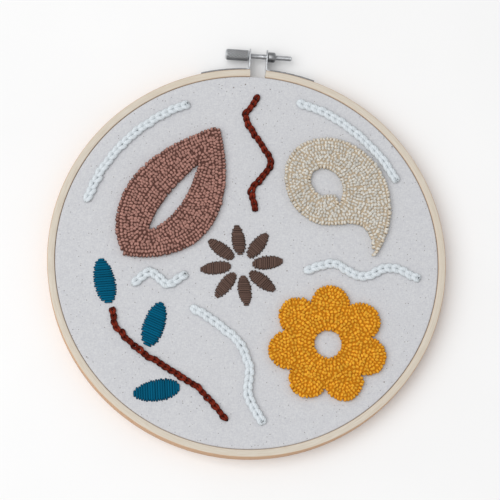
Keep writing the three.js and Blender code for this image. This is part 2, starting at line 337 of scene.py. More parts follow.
def steel_finish():
    material, tree, shader = new_finish("plated_steel", 0.3, Metallic=1.0)
    place = object_place(tree)
    cloudy = speckle(tree, place, 420.0, 5.0)
    fine = speckle(tree, place, 5200.0, 2.0)
    colour = blend_colours(tree, remap(tree, cloudy, 0.4, 0.7), paint(214, 216, 219), paint(176, 178, 181))
    groove = add_node(tree, "ShaderNodeAttribute", attribute_name=GROOVE).outputs["Fac"]
    # Painted shade in the hollows of knurl and thread and all over the nut, and a darker grey on the straps
    # along the wood.
    colour = blend_colours(tree, remap(tree, groove, 0.1, 0.6), colour, paint(36, 33, 31))
    tree.links.new(colour, shader.inputs["Base Color"])
    tree.links.new(remap(tree, fine, 0.3, 0.75, 0.24, 0.46), shader.inputs["Roughness"])
    raise_bump(tree, shader, fine, 0.02, 0.6)
    return material


# %% [markdown]
# ### Cloth
# The ground is unbleached cotton in plain weave: warp and weft cross about twice in a millimetre. That
# many threads are too fine to model, so the weave is left to the finish. Two crossed waves make the
# threads, noise drawn out along each of them makes some thick and some thin, and small dark flecks of
# seed husk are left in the yarn. The flecks are cells of which only a few, chosen by their own random
# colour, show.

# %% Cloth finish
THREAD_PITCH = 0.5
WAVE_RATE = 20


def thread_wave(tree, place, direction):
    """One wave to a thread. At a scale of one, the texture turns WAVE_RATE radians in a metre."""
    scale = math.tau / (WAVE_RATE * THREAD_PITCH * MM)
    sockets = {"Vector": place, "Scale": scale, "Distortion": 0.6, "Detail": 1.0, "Detail Scale": 0.4}
    return add_node(tree, "ShaderNodeTexWave", sockets, bands_direction=direction).outputs["Fac"]


def uneven_threads(tree, place, stretch):
    """Noise of about a thread's width, drawn out along one axis."""
    drawn = add_node(tree, "ShaderNodeMapping", {"Vector": place, "Scale": stretch}).outputs[0]
    return speckle(tree, drawn, 1900.0, 2.0)


def flecks(tree, place, cells, size, share):
    """One where a husk lies: so many cells to a metre, of which a share has a husk of this size."""
    cell = add_node(tree, "ShaderNodeTexVoronoi", {"Vector": place, "Scale": cells})
    chosen = add_node(tree, "ShaderNodeSeparateColor", {0: cell.outputs["Color"]}).outputs[0]
    near = calculate(tree, "LESS_THAN", cell.outputs["Distance"], size)
    return calculate(tree, "MULTIPLY", near, calculate(tree, "LESS_THAN", chosen, share))


def cloth_finish():
    material, tree, shader = new_finish("cotton_cloth", 0.95, Specular_IOR_Level=0.15, Sheen_Weight=0.15)
    place = object_place(tree)
    weave = calculate(tree, "MAXIMUM", thread_wave(tree, place, "X"), thread_wave(tree, place, "Y"))
    warp = uneven_threads(tree, place, (1.0, 0.4, 1.0))
    weft = uneven_threads(tree, place, (0.4, 1.0, 1.0))
    slubs = calculate(tree, "MULTIPLY", calculate(tree, "ADD", warp, weft), 0.5)
    mottle = speckle(tree, place, 260.0, 3.0)
    colour = blend_colours(tree, remap(tree, slubs, 0.36, 0.64), paint(198, 199, 204), paint(217, 218, 220))
    colour = blend_colours(tree, remap(tree, weave, 0.9, 0.3, 0.0, 0.12), colour, paint(150, 150, 154))
    colour = blend_colours(tree, remap(tree, mottle, 0.35, 0.7, 0.0, 0.15), colour, paint(198, 197, 199))
    small = flecks(tree, place, cells=680.0, size=0.18, share=0.2)
    large = flecks(tree, place, cells=150.0, size=0.06, share=0.14)
    colour = blend_colours(tree, calculate(tree, "MULTIPLY", small, 0.75), colour, paint(116, 110, 106))
    colour = blend_colours(tree, calculate(tree, "MULTIPLY", large, 0.7), colour, paint(96, 78, 66))
    tree.links.new(colour, shader.inputs["Base Color"])
    height = calculate(tree, "ADD", weave, calculate(tree, "MULTIPLY", slubs, 1.4))
    raise_bump(tree, shader, height, 0.12, 0.5)
    return material


# %% [markdown]
# ### Yarn and thread
# The yarn is a few strands twisted together. The strands could be modelled, at many times the faces, so
# the twist is left to the finish: each run of yarn carries its own map, once round and so many
# millimetres along, and a slanting wave on that map makes the strands, with painted shade in the hollows
# between them. Deep in a pile the light has bounced from yarn to yarn, so the colour there is darker and
# warmer: this painted shade is mixed by height over the cloth. Lower down only the open outer side of a
# pile is seen, which gets painted light again. Where threads lie pressed side by side, a fine line of
# painted shade runs between them. A number kept with each stitch makes it a little lighter or darker
# than the next.

# %% Colour by height
OPEN_SIDE = 0.6


def colour_by_height(tree, light, deep, low, high, open_side):
    """Painted shade: mixes from deep to light between two heights, and back by open_side, as painted light
    on the open side, on the way down to the cloth.
    """
    lift = add_node(tree, "ShaderNodeSeparateXYZ", {0: object_place(tree)}).outputs["Z"]
    upper = remap(tree, lift, (FACE + low) * MM, (FACE + high) * MM)
    lower = remap(tree, lift, (FACE + low) * MM, (FACE + low - OPEN_SIDE) * MM, 0.0, open_side)
    return blend_colours(tree, calculate(tree, "MAXIMUM", upper, lower), paint(*deep), paint(*light))


# %% Twisted strands
YARN_MAP = "yarn"
STRANDS = 3
TWIST_PITCH = 1.3


def ridges(tree, phase):
    """One on a ridge and zero in a furrow, twice in a whole turn of the phase."""
    return calculate(tree, "ABSOLUTE", calculate(tree, "SINE", phase))


def strands_and_crown(tree):
    """One on each strand and zero between two, and one on top of the yarn and zero at its sides."""
    around_along = add_node(tree, "ShaderNodeUVMap", uv_map=YARN_MAP).outputs["UV"]
    parts = add_node(tree, "ShaderNodeSeparateXYZ", {0: around_along})
    slant = calculate(tree, "ADD", calculate(tree, "MULTIPLY", parts.outputs["X"], STRANDS * math.tau),
                      calculate(tree, "MULTIPLY", parts.outputs["Y"], math.tau / TWIST_PITCH))
    strands = ridges(tree, calculate(tree, "MULTIPLY", slant, 0.5))
    return strands, ridges(tree, calculate(tree, "MULTIPLY", parts.outputs["X"], math.tau))


# %% Yarn finish
TONE = "tone"


def shaded(tree, colour, value):
    """A colour made lighter or darker."""
    return add_node(tree, "ShaderNodeHueSaturation", {"Color": colour, "Value": value}).outputs["Color"]


def yarn_finish(name, light, deep, low, high, furrow=0.85, uneven=0.13, side_shade=1.0, open_side=0.0):
    """light and deep are the colours at the heights high and low, in millimetres over the cloth.

    furrow is how light the painted shade in the hollows between the twisted strands is, as a share of the
    rest, and side_shade how light the painted shade on the two sides of a thread is. uneven is how much one
    stitch may differ from the next. open_side is how far the colour turns back to the light one, as painted
    light, on the way down to the cloth."""
    material, tree, shader = new_finish(name, 0.9, Specular_IOR_Level=0.1)
    colour = colour_by_height(tree, light, deep, low, high, open_side)
    tone = add_node(tree, "ShaderNodeAttribute", attribute_name=TONE).outputs["Fac"]
    colour = shaded(tree, colour, remap(tree, tone, 0.0, 1.0, 1 - uneven, 1 + uneven))
    strands, crown = strands_and_crown(tree)
    # Painted shade: darker in the furrows between strands and along the two sides of each thread.
    hollows = calculate(tree, "MULTIPLY", remap(tree, strands, 0.0, 0.6, furrow, 1.0),
                        remap(tree, crown, 0.25, 0.85, side_shade, 1.0))
    tree.links.new(shaded(tree, colour, hollows), shader.inputs["Base Color"])
    fuzz = speckle(tree, object_place(tree), 4200.0, 2.0)
    height = calculate(tree, "ADD", strands, calculate(tree, "MULTIPLY", fuzz, 0.7))
    raise_bump(tree, shader, height, 0.22, 0.7)
    return material


# %% [markdown]
# ### The yarns
# One function serves all seven yarns, so that they look like one family. The colours of a pile lie close
# together in hue: the deep one, painted shade, is seen between the loops and the light one on top of them.
# Satin threads have painted shade along their two sides. The white yarn has hardly any painted shade in
# its hollows, because light goes through it from all sides.

# %% All the finishes
WOOD = wood_finish()
STEEL = steel_finish()
COTTON = cloth_finish()
MUSTARD = yarn_finish("mustard_yarn", (236, 174, 54), (212, 132, 18), 1.9, 2.9, open_side=0.8)
PINK = yarn_finish("dusty_pink_yarn", (176, 132, 121), (80, 46, 39), 1.9, 2.65, open_side=0.8)
BEIGE = yarn_finish("beige_yarn", (213, 210, 202), (210, 186, 151), 1.85, 2.6, open_side=0.9)
TEAL = yarn_finish("teal_thread", (0, 92, 124), (0, 58, 84), -0.2, 0.9,
                   furrow=0.8, uneven=0.12, side_shade=0.55)
BROWN = yarn_finish("brown_thread", (102, 81, 73), (52, 35, 29), -0.2, 0.8,
                    furrow=0.8, uneven=0.16, side_shade=0.38)
RUST = yarn_finish("rust_yarn", (126, 44, 28), (40, 8, 5), 0.8, 2.0, furrow=0.55, uneven=0.2)
WHITE = yarn_finish("white_yarn", (219, 226, 231), (205, 209, 211), 0.4, 1.7, furrow=0.97, uneven=0.02)
print(len(bpy.data.materials), "materials in the file")

# %% [markdown]
# ## The wooden rings
# A strip of wood has a small oblong section with eased edges. A ring could be cut from a cylinder, but
# the split would then leave open ends. So the section is drawn as one upright face whose corners are
# bevelled, and spun round the middle of the hoop: all the way for the inner ring, and from one side of
# the split to the other for the outer one. Spinning an empty outline and filling its two ends keeps the
# inside free of hidden faces.

# %% Draw the section
EASED_EDGE = 0.5


def ring_section(inner, outer, top, angle):
    """The outline of the strip's section, standing on the table at so many radians clockwise from +Y."""
    bpy.ops.mesh.primitive_plane_add(size=1)
    section = bpy.context.object
    section.scale = ((outer - inner) * MM, top * MM, 1)
    bpy.ops.object.transform_apply(scale=True)
    section.rotation_euler = (math.pi / 2, 0, math.pi / 2 - angle)
    middle = (inner + outer) / 2
    section.location = hub + Vector((middle * math.sin(angle), middle * math.cos(angle), top / 2)) * MM
    bpy.ops.object.transform_apply(location=True, rotation=True)
    start_edit(section)
    bpy.ops.mesh.bevel(offset=EASED_EDGE * MM, segments=3, affect="VERTICES")
    bpy.ops.mesh.select_all(action="SELECT")
    bpy.ops.mesh.delete(type="ONLY_FACE")
    bpy.ops.object.mode_set(mode="OBJECT")
    return section


# %% Lay the grain
def lay_grain(piece):
    """Writes each corner's place along the strip, from the middle, and up, in millimetres."""
    mesh = piece.data
    layer = mesh.attributes.new(GRAIN, "FLOAT_VECTOR", "CORNER")
    places = np.array([(vertex.co - hub) / MM for vertex in mesh.vertices])
    values = np.zeros((len(mesh.loops), 3))
    for polygon in mesh.polygons:
        corners = np.array([mesh.loops[i].vertex_index for i in polygon.loop_indices])
        x, y, z = places[corners].T
        angle = np.arctan2(x, y)
        angle = angle[0] + (angle - angle[0] + math.pi) % math.tau - math.pi
        values[list(polygon.loop_indices)] = np.stack([angle * RING_OUT, np.hypot(x, y), z], axis=1)
    layer.data.foreach_set("vector", values.astype(np.float32).ravel())


# %% Spin the rings
STEPS_ROUND = 180


def wooden_ring(name, inner, outer, top, open_half, node):
    """Spins the section from one side of a split to the other. open_half is half of the split's angle."""
    piece = ring_section(inner, outer, top, open_half)
    sweep = math.tau - 2 * open_half
    start_edit(piece)
    bpy.ops.mesh.spin(steps=STEPS_ROUND, angle=sweep, center=hub, axis=(0, 0, 1), use_auto_merge=False)
    close_mesh(piece)
    shade_smooth(piece, 50)
    lay_grain(piece)
    finish_piece(piece, name, WOOD, [node])


split_angle = math.asin(SPLIT_HALF / RING_OUT)
wooden_ring("outer_ring_wood", RING_OUT - RING_THICK, RING_OUT, RING_TOP, split_angle, "outer_ring")
wooden_ring("inner_ring_wood", INNER_OUT - INNER_THICK, INNER_OUT, INNER_TOP, 0.0, "inner_ring")

# %% [markdown]
# ## Steel straps
# Each end of the outer ring carries a thin steel strap that follows the wood and then turns out into an
# ear with a round top and a hole for the screw. It could be extruded step by step round the bend. It is
# made as the maker makes it, from flat sheet metal, because the path is then a short list: a grid is
# bent along it and narrows to the round top, Solidify gives the thickness, a cylinder cuts the hole and
# a small bevel takes the sharpness off. Along the wood the strap is coloured a darker grey; the ears are
# brighter.

# %% Sizes of the straps
screw_low, screw_high = in_mm("screw")
SCREW_Y, SCREW_Z = (screw_low.y + screw_high.y) / 2, (screw_low.z + screw_high.z) / 2
strap_low, strap_high = in_mm("strap_right")
STRAP_WIDTH = strap_high.z - strap_low.z
STRAP_ALONG, EAR_TOP = strap_high.x, strap_high.y
STRAP_THICK = 0.7
FIT_GAP = 0.3
STRAP_RADIUS = RING_OUT + FIT_GAP + STRAP_THICK / 2
EAR_X = SPLIT_HALF + STRAP_THICK / 2
BEND = 1.0
HOLE_RADIUS = 1.7
STRAP_EASE = 0.12
# The share of the dark steel colour on the straps along the wood, and painted shade on the whole nut.
DARK_GREY_SHARE = 0.36
print(f"straps {STRAP_WIDTH:.1f} mm wide, screw {screw_high.x - screw_low.x:.1f} mm long")

# %% Bend the straps
TOP_STEPS, EAR_STEPS, BEND_STEPS, STRAP_STEPS = 10, 8, 6, 60
TOP_FROM = 0.015


def strap_path():
    """Points down the ear, round the bend and along the ring, each with half of the strap's width there."""
    half = STRAP_WIDTH / 2
    points = []
    for share in np.linspace(TOP_FROM, 1, TOP_STEPS):
        drop = half * share
        points.append((EAR_X, EAR_TOP - drop, math.sqrt(half**2 - (half - drop) ** 2)))
    bend_y = math.sqrt(STRAP_RADIUS**2 - (EAR_X + BEND) ** 2) + BEND
    for y in np.linspace(EAR_TOP - half, bend_y, EAR_STEPS)[1:]:
        points.append((EAR_X, y, half))
    for angle in np.linspace(math.pi, 1.5 * math.pi, BEND_STEPS)[1:]:
        points.append((EAR_X + BEND + BEND * math.cos(angle), bend_y + BEND * math.sin(angle), half))
    first = math.asin((EAR_X + BEND) / STRAP_RADIUS)
    last = math.asin(STRAP_ALONG / (STRAP_RADIUS + STRAP_THICK / 2))
    for angle in np.linspace(first, last, STRAP_STEPS - len(points) + 1)[1:]:
        points.append((STRAP_RADIUS * math.sin(angle), STRAP_RADIUS * math.cos(angle), half))
    return points


def bent_sheet(path, side):
    """A flat grid laid along the path, to the left if side is below zero."""
    bpy.ops.mesh.primitive_grid_add(x_subdivisions=len(path) - 1, y_subdivisions=8, size=2)
    piece = bpy.context.object
    for vertex in piece.data.vertices:
        x, y, half = path[round((vertex.co.x + 1) / 2 * (len(path) - 1))]
        vertex.co = hub + Vector((side * x, y, SCREW_Z + half * vertex.co.y)) * MM
    return piece


# %% Finish the straps
def cut_hole(piece):
    """Bores through along the screw's axis, with a cylinder longer than the two ears are apart."""
    bpy.ops.mesh.primitive_cylinder_add(vertices=48, radius=HOLE_RADIUS * MM, depth=40 * MM,
                                        location=hub + Vector((0, SCREW_Y, SCREW_Z)) * MM,
                                        rotation=(0, math.pi / 2, 0))
    cutter = bpy.context.object
    bore = piece.modifiers.new("bore", "BOOLEAN")
    bore.operation = "DIFFERENCE"
    bore.object = cutter
    apply_modifiers(piece)
    bpy.data.objects.remove(cutter)


def ease_edges(piece):
    soft = piece.modifiers.new("soft", "BEVEL")
    soft.width = STRAP_EASE * MM
    soft.segments = 2
    soft.limit_method = "ANGLE"
    soft.angle_limit = math.radians(50)
    apply_modifiers(piece)


def grey_along_wood(piece):
    """Grey along the wood, and bright from the bend up."""
    greyed = piece.data.attributes.new(GROOVE, "FLOAT", "POINT")
    for vertex in piece.data.vertices:
        past_bend = abs(vertex.co.x - hub.x) / MM - EAR_X - BEND
        greyed.data[vertex.index].value = DARK_GREY_SHARE * min(max(past_bend, 0.0), 1.0)


def steel_strap(side, word):
    piece = bent_sheet(strap_path(), side)
    give_thickness(piece, STRAP_THICK)
    close_mesh(piece)
    cut_hole(piece)
    ease_edges(piece)
    shade_smooth(piece, 40)
    grey_along_wood(piece)
    finish_piece(piece, f"strap_{word}_steel", STEEL, [f"strap_{word}"])


for side, word in ((-1, "left"), (1, "right")):
    steel_strap(side, word)

# %% [markdown]
# ## Turned parts
# The screw, its nut and the rivets are turned on a lathe. They could be spun as the rings are, but a
# flat grid can be rolled into any of them as well: one side of the grid runs along the profile, the
# other goes once round. While it is rolled, each point may be pushed in a little, which cuts the crossed
# grooves of the knurled head and the fine thread of the shank. A spun mesh would need those cut one by
# one.

# %% Roll a grid on a profile
def turned_piece(profile, axis_start, axis, around, relief=None):
    """profile is pairs of distance along the axis and radius.

    relief gives the depth cut away at a place, and how far that place lies in a groove, from 0 to 1."""
    axis = Vector(axis).normalized()
    side = axis.orthogonal().normalized()
    other = axis.cross(side)
    bpy.ops.mesh.primitive_grid_add(x_subdivisions=len(profile) - 1, y_subdivisions=around, size=2)
    piece = bpy.context.object
    groove = piece.data.attributes.new(GROOVE, "FLOAT", "POINT")
    for vertex in piece.data.vertices:
        along, radius = profile[round((vertex.co.x + 1) / 2 * (len(profile) - 1))]
        angle = (vertex.co.y + 1) * math.pi
        depth, hollow = relief(along, angle) if relief else (0.0, 0.0)
        # The second number of relief darkens the steel there: painted shade in the hollows, and on the nut
        # all over.
        groove.data[vertex.index].value = hollow
        direction = math.cos(angle) * side + math.sin(angle) * other
        vertex.co = hub + (Vector(axis_start) + axis * along + direction * (radius - depth)) * MM
    close_mesh(piece)
    shade_smooth(piece, 40)
    return piece


# %% Knurling and thread
SHANK_RADIUS = 1.45
HEAD_RADIUS = (screw_high.z - screw_low.z) / 2
HEAD_END = -(SPLIT_HALF + STRAP_THICK + FIT_GAP)
KNURL_ROUND, KNURL_PITCH, KNURL_DEPTH, KNURL_GROOVE = 12, 1.9, 0.32, 0.42
KNURL_FROM, KNURL_TO = screw_low.x + 0.9, HEAD_END - 0.6
# THREAD_SHADE is the painted shade in the thread's hollows, as a share of the dark steel colour.
SCREW_PITCH, THREAD_DEPTH, THREAD_SHADE = 0.5, 0.16, 0.35
THREAD_FROM, THREAD_TO = HEAD_END + 0.5, screw_high.x - 0.9


def zigzag(phase):
    """One at whole turns of the phase and zero half-way between them."""
    return abs(2 * (phase % 1) - 1)


def screw_relief(along, angle):
    """Crossed grooves leave flat-topped diamonds on the head, and a fine thread runs along the shank. The
    second number is painted shade in their hollows.
    """
    if KNURL_FROM < along < KNURL_TO:
        turns = KNURL_ROUND * angle / math.tau
        first, second = turns + along / KNURL_PITCH, turns - along / KNURL_PITCH
        hollow = max(0.0, 1 - min(zigzag(first), zigzag(second)) / KNURL_GROOVE)
        return KNURL_DEPTH * hollow, hollow
    if THREAD_FROM < along < THREAD_TO:
        hollow = zigzag(along / SCREW_PITCH - angle / math.tau)
        return THREAD_DEPTH * hollow, THREAD_SHADE * hollow
    return 0.0, 0.0


# %% The screw
SCREW_AROUND = 120


def screw_profile():
    """The head with its eased rims, and the shank with its rounded tip."""
    start, end = screw_low.x, screw_high.x
    profile = [(start + 0.1, 0.05), (start, HEAD_RADIUS - 1.2), (start + 0.15, HEAD_RADIUS - 0.6),
               (start + 0.45, HEAD_RADIUS - 0.18)]
    profile += [(x, HEAD_RADIUS) for x in np.arange(start + 0.85, HEAD_END - 0.5, KNURL_PITCH / 10)]
    profile += [(HEAD_END - 0.4, HEAD_RADIUS), (HEAD_END, HEAD_RADIUS - 0.4), (HEAD_END, SHANK_RADIUS)]
    profile += [(x, SHANK_RADIUS) for x in np.arange(HEAD_END + 0.3, end - 0.8, SCREW_PITCH / 4)]
    profile += [(end - 0.7, SHANK_RADIUS - 0.15), (end - 0.3, SHANK_RADIUS - 0.45), (end, 0.4), (end, 0.05)]
    return profile


screw = turned_piece(screw_profile(), (0, SCREW_Y, SCREW_Z), (1, 0, 0), SCREW_AROUND, screw_relief)
finish_piece(screw, "screw_steel", STEEL, ["screw"], body="screw")

# %% The nut and the rivets
nut_low, nut_high = in_mm("nut")
NUT_RADIUS = (nut_high.z - nut_low.z) / 2
NUT_AROUND, RIVET_AROUND = 48, 32


def nut_profile():
    """A barrel with a worn rim and a close bore."""
    start, end, bore = nut_low.x, nut_high.x, SHANK_RADIUS + 0.08
    outside = [(start, bore + 0.4), (start, NUT_RADIUS - 0.25), (start + 0.1, NUT_RADIUS - 0.06),
               (start + 0.25, NUT_RADIUS), (end - 0.75, NUT_RADIUS), (end - 0.6, NUT_RADIUS - 0.05),
               (end - 0.1, NUT_RADIUS - 0.55), (end, NUT_RADIUS - 0.75)]
    return outside + [(end, bore + 0.15), (end - 0.2, bore), (start, bore), (start, bore + 0.4)]


def painted_dark_all_over(along, angle):
    """Nothing is cut away, but the whole nut is painted a darker grey, for its shade and dark reflections.
    """
    return 0.0, DARK_GREY_SHARE


nut = turned_piece(nut_profile(), (0, SCREW_Y, SCREW_Z), (1, 0, 0), NUT_AROUND, painted_dark_all_over)
finish_piece(nut, "nut_steel", STEEL, ["nut"])

RIVET_HEAD = [(-1.0, 0.05), (-1.0, 1.0), (0.0, 1.0), (0.0, 1.55), (0.08, 1.6), (0.2, 1.45), (0.3, 0.9),
              (0.33, 0.05)]
for side, word in ((-1, "left"), (1, "right")):
    low, high = in_mm(f"rivet_{word}")
    outward = Vector(((low.x + high.x) / 2, (low.y + high.y) / 2, 0)).normalized()
    seat = outward * (STRAP_RADIUS + STRAP_THICK / 2) + Vector((0, 0, SCREW_Z))
    rivet = turned_piece(RIVET_HEAD, seat, outward, RIVET_AROUND)
    finish_piece(rivet, f"rivet_{word}_head", STEEL, [f"rivet_{word}"])

# %% [markdown]
# ## Outlines of the needlework
# The motifs are plain ones that anybody may draw: a seven-petalled flower, a leaf and a paisley in pile,
# a sprig with three satin leaves, a daisy of eight satin petals, and lines of chain stitch. An outline
# could be drawn point by point, but each of these is a formula with a few sizes, the same ones as in the
# solid model, so a motif sits where its solid sits.

# %% Moving and growing an outline
def rotated(x, y, angle):
    return x * np.cos(angle) - y * np.sin(angle), x * np.sin(angle) + y * np.cos(angle)


def placed(shape, at, turned):
    """A shape turned by so many degrees and moved to its place, as rows of x and y."""
    x, y = rotated(*shape, math.radians(turned))
    return np.stack([x + at[0], y + at[1]], axis=1)


def grown(outline, outward):
    """The outline moved outwards, or inwards if outward is below zero, along its own normals."""
    ahead = np.roll(outline, -1, axis=0) - np.roll(outline, 1, axis=0)
    ahead /= np.hypot(*ahead.T)[:, None]
    return outline + outward * np.stack([ahead[:, 1], -ahead[:, 0]], 1)


# %% Outline formulas
PETAL_ROUND = 0.7


def round_shape(radius, steps):
    t = np.arange(steps) / steps * math.tau
    return radius * np.cos(t), radius * np.sin(t)


def flower_shape(petals, valley, tip, steps):
    """A ring of round petals, between the radius of the valleys and that of the tips."""
    t = np.arange(steps) / steps * math.tau
    radius = valley + (tip - valley) * np.abs(np.sin(petals * t / 2)) ** PETAL_ROUND
    return radius * np.cos(t), radius * np.sin(t)


def leaf_half(share, width, fullness, point):
    """Half the width at a share of the way from end to end, counted round half a circle."""
    return width / 2 * np.sin(math.pi * share**fullness) ** point


def leaf_shape(length, width, fullness, point, bow, span, steps):
    """A leaf along X. Its middle is moved sideways by bow, and a place half of the span away not at all."""
    share = np.arange(steps) / steps
    share = np.concatenate([share, 1 - share])
    side = np.repeat([-1, 1], steps)
    x = -length / 2 * np.cos(math.pi * share)
    return x, bow * (1 - (2 * x / span) ** 2) + side * leaf_half(share, width, fullness, point)


def paisley_shape(length, width, head, slimness, tail, turn, steps):
    """A drop whose tail is turned more and more towards its tip. peak is the drop's largest half-width
    before it is scaled, and head the distance from the round end to the point that is placed."""
    t = np.arange(steps) / steps * math.tau
    peak = 2 * math.sqrt((slimness + 1) ** (slimness + 1) / (slimness + 2) ** (slimness + 2))
    along = length * (0.5 + 0.5 * np.cos(t))
    half = width / 2 / peak * np.sin(t / 2) ** slimness + tail
    return rotated(along - head, half * np.sin(t), math.radians(turn) * (along / length) ** 2)


# %% The motifs in pile
FLOWER_AT, PAISLEY_AT, PAISLEY_TURN = (44, -43), (37, 44), 20
LEAF_AT, SLIT_AT, LEAF_TURN = (-42, 34), (-43, 32), 58
LEAF_SPAN, LEAF_BOW = 86, -4
PILES = {
    "flower": {
        "outer": placed(flower_shape(7, 22.5, 31, 168), FLOWER_AT, 12),
        "bare": placed(round_shape(7.5, 48), FLOWER_AT, 0),
        "yarn": MUSTARD, "slot": "yarn_mustard", "seed": 11,
    },
    "leaf": {
        "outer": placed(leaf_shape(LEAF_SPAN, 48, 0.88, 1.9, LEAF_BOW, LEAF_SPAN, 60), LEAF_AT, LEAF_TURN),
        "bare": placed(leaf_shape(46, 9, 0.88, 1.9, LEAF_BOW, LEAF_SPAN, 30), SLIT_AT, LEAF_TURN),
        "yarn": PINK, "slot": "yarn_pink", "seed": 12,
    },
    "paisley": {
        "outer": placed(paisley_shape(68, 43, 19, 1.2, 2.5, -75, 120), PAISLEY_AT, PAISLEY_TURN),
        "bare": placed(paisley_shape(22, 14.5, 6.2, 1.2, 0.6, -75, 48), PAISLEY_AT, PAISLEY_TURN),
        "yarn": BEIGE, "slot": "yarn_beige", "seed": 13,
    },
}

for name, motif in PILES.items():
    low, high = in_mm(f"pile_{name}")
    drawn = np.concatenate([motif["outer"].min(0), motif["outer"].max(0)])
    off = np.abs(drawn - np.array([low.x, low.y, high.x, high.y])).max()
    print(f"{name}: the outline is within {off:.2f} mm of its solid")

# %% [markdown]
# ## The cloth
# The cloth is one flat round, drawn tight over the inner ring and turned down between the two rings. A
# cloth simulation could drape it, but it is as taut as a drum, so a net of circles and spokes follows
# its path from the middle outwards. It isn't quite flat: the stitches pull it down a little around each
# motif in pile, and it carries faint ripples from the stretching. Solidify gives it the thickness of the
# real cotton, and the trimmed edge at the back is left a little uneven. First come a few helpers that
# measure an outline.

# %% Distance to an outline
BATCH = 2000


def dense(outline, step=0.4):
    """The same closed outline with points every step or less, and the direction along it at each."""
    ahead = np.roll(outline, -1, axis=0) - outline
    points, directions = [], []
    for start, way in zip(outline, ahead):
        count = max(1, int(math.ceil(np.hypot(*way) / step)))
        points.append(start + way * (np.arange(count) / count)[:, None])
        directions.append(np.repeat([way / max(np.hypot(*way), 1e-9)], count, axis=0))
    return np.concatenate(points), np.concatenate(directions)


def distance_to(points, samples):
    """Distance from each point to the nearest sample, and which sample that is."""
    nearest = np.empty(len(points), int)
    distance = np.empty(len(points))
    for start in range(0, len(points), BATCH):
        part = slice(start, start + BATCH)
        x, y = points[part].T[:, :, None]
        gaps = np.hypot(x - samples[None, :, 0], y - samples[None, :, 1])
        nearest[part] = gaps.argmin(1)
        distance[part] = gaps.min(1)
    return distance, nearest


def motif_edges(motif, step=0.4):
    """Points close together on both edges of a motif, the outer one and that of its bare middle."""
    return np.concatenate([dense(motif["outer"], step)[0], dense(motif["bare"], step)[0]])


def inside(points, outline):
    """True for a point within a closed outline: a ray to the right crosses it an odd number of times."""
    x, y = points[:, 0][:, None], points[:, 1][:, None]
    x1, y1 = outline[:, 0][None], outline[:, 1][None]
    x2, y2 = np.roll(outline[:, 0], -1)[None], np.roll(outline[:, 1], -1)[None]
    spans = (y1 > y) != (y2 > y)
    with np.errstate(divide="ignore", invalid="ignore"):
        cross = x1 + (y - y1) * (x2 - x1) / (y2 - y1)
    return (spans & (x < cross)).sum(1) % 2 == 1


def in_motif(points, motif):
    return inside(points, motif["outer"]) & ~inside(points, motif["bare"])


# %% The path of the cloth
FACE_CIRCLES, MIDDLE_RADIUS = 66, 0.8
TURN_RADIUS = 0.6
TURN_STEPS, DOWN_STEPS = 6, 6
EDGE_PRESS = 0.15
TRIM_HEIGHT = 0.9
DIP_DEPTH, DIP_WIDTH = 0.25, 3.0
RIM_WIDTH = 12


def cloth_path():
    """Radius and height from the middle to the trimmed edge, at half of the cloth's thickness.

    Past the turn it lies EDGE_PRESS further out than the solid, close to the outer ring."""
    top = FACE - CLOTH_THICK / 2
    wall = CLOTH_OUT + EDGE_PRESS - CLOTH_THICK / 2
    face = [(radius, top) for radius in np.linspace(MIDDLE_RADIUS, wall - TURN_RADIUS, FACE_CIRCLES)]
    turn = [(wall - TURN_RADIUS * (1 - math.sin(a)), top - TURN_RADIUS * (1 - math.cos(a)))
            for a in np.linspace(0, math.pi / 2, TURN_STEPS)[1:]]
    down = [(wall, z) for z in np.linspace(top - TURN_RADIUS, TRIM_HEIGHT, DOWN_STEPS)[1:]]
    return face + turn + down


def cloth_sag(points):
    """How far the cloth lies below its plain height: two slow crossing waves, and dips beside the pile."""
    x, y = points.T
    sag = 0.07 * np.sin(x / 9 + 0.6 * np.sin(y / 17)) + 0.06 * np.sin(y / 12 + x / 31 + 1.0)
    for motif in PILES.values():
        away = distance_to(points, motif_edges(motif, 1.0))[0]
        sag += DIP_DEPTH * np.exp(-((away / DIP_WIDTH) ** 2))
    rim = np.clip((INNER_OUT - np.hypot(x, y)) / RIM_WIDTH, 0, 1)
    return sag * rim


# %% Lay the cloth
CLOTH_SPOKES = 240


def cloth_net():
    """Points and faces of the cloth, circle by circle from the middle outwards."""
    path = cloth_path()
    angles = np.arange(CLOTH_SPOKES) / CLOTH_SPOKES * math.tau
    flat = np.array([(r * math.cos(a), r * math.sin(a), z) for r, z in path for a in angles])
    on_face = flat[:, 2] > FACE - CLOTH_THICK
    flat[on_face, 2] -= cloth_sag(flat[on_face, :2])
    uneven_cut = 0.25 * np.sin(angles * 23) + 0.15 * np.sin(angles * 57 + 1)
    flat[-CLOTH_SPOKES:, 2] += uneven_cut
    middle = len(flat)
    vertices = np.vstack([flat, [0, 0, path[0][1]]])
    faces = []
    for ring in range(len(path) - 1):
        for spoke in range(CLOTH_SPOKES):
            a, b = ring * CLOTH_SPOKES + spoke, ring * CLOTH_SPOKES + (spoke + 1) % CLOTH_SPOKES
            faces.append((a, a + CLOTH_SPOKES, b + CLOTH_SPOKES, b))
    faces += [(middle, spoke, (spoke + 1) % CLOTH_SPOKES) for spoke in range(CLOTH_SPOKES)]
    return vertices, faces


def mesh_object(name, vertices, faces, edges=()):
    """A mesh object from points in millimetres from the middle of the hoop."""
    mesh = bpy.data.meshes.new(name)
    mesh.from_pydata((np.asarray(vertices) * MM + np.array(hub)).tolist(), edges, faces)
    return new_object(name, mesh)


cloth = mesh_object("cloth_round", *cloth_net())
give_thickness(cloth, CLOTH_THICK)
shade_smooth(cloth, 50)
finish_piece(cloth, "cloth_round", COTTON, ["cloth"])

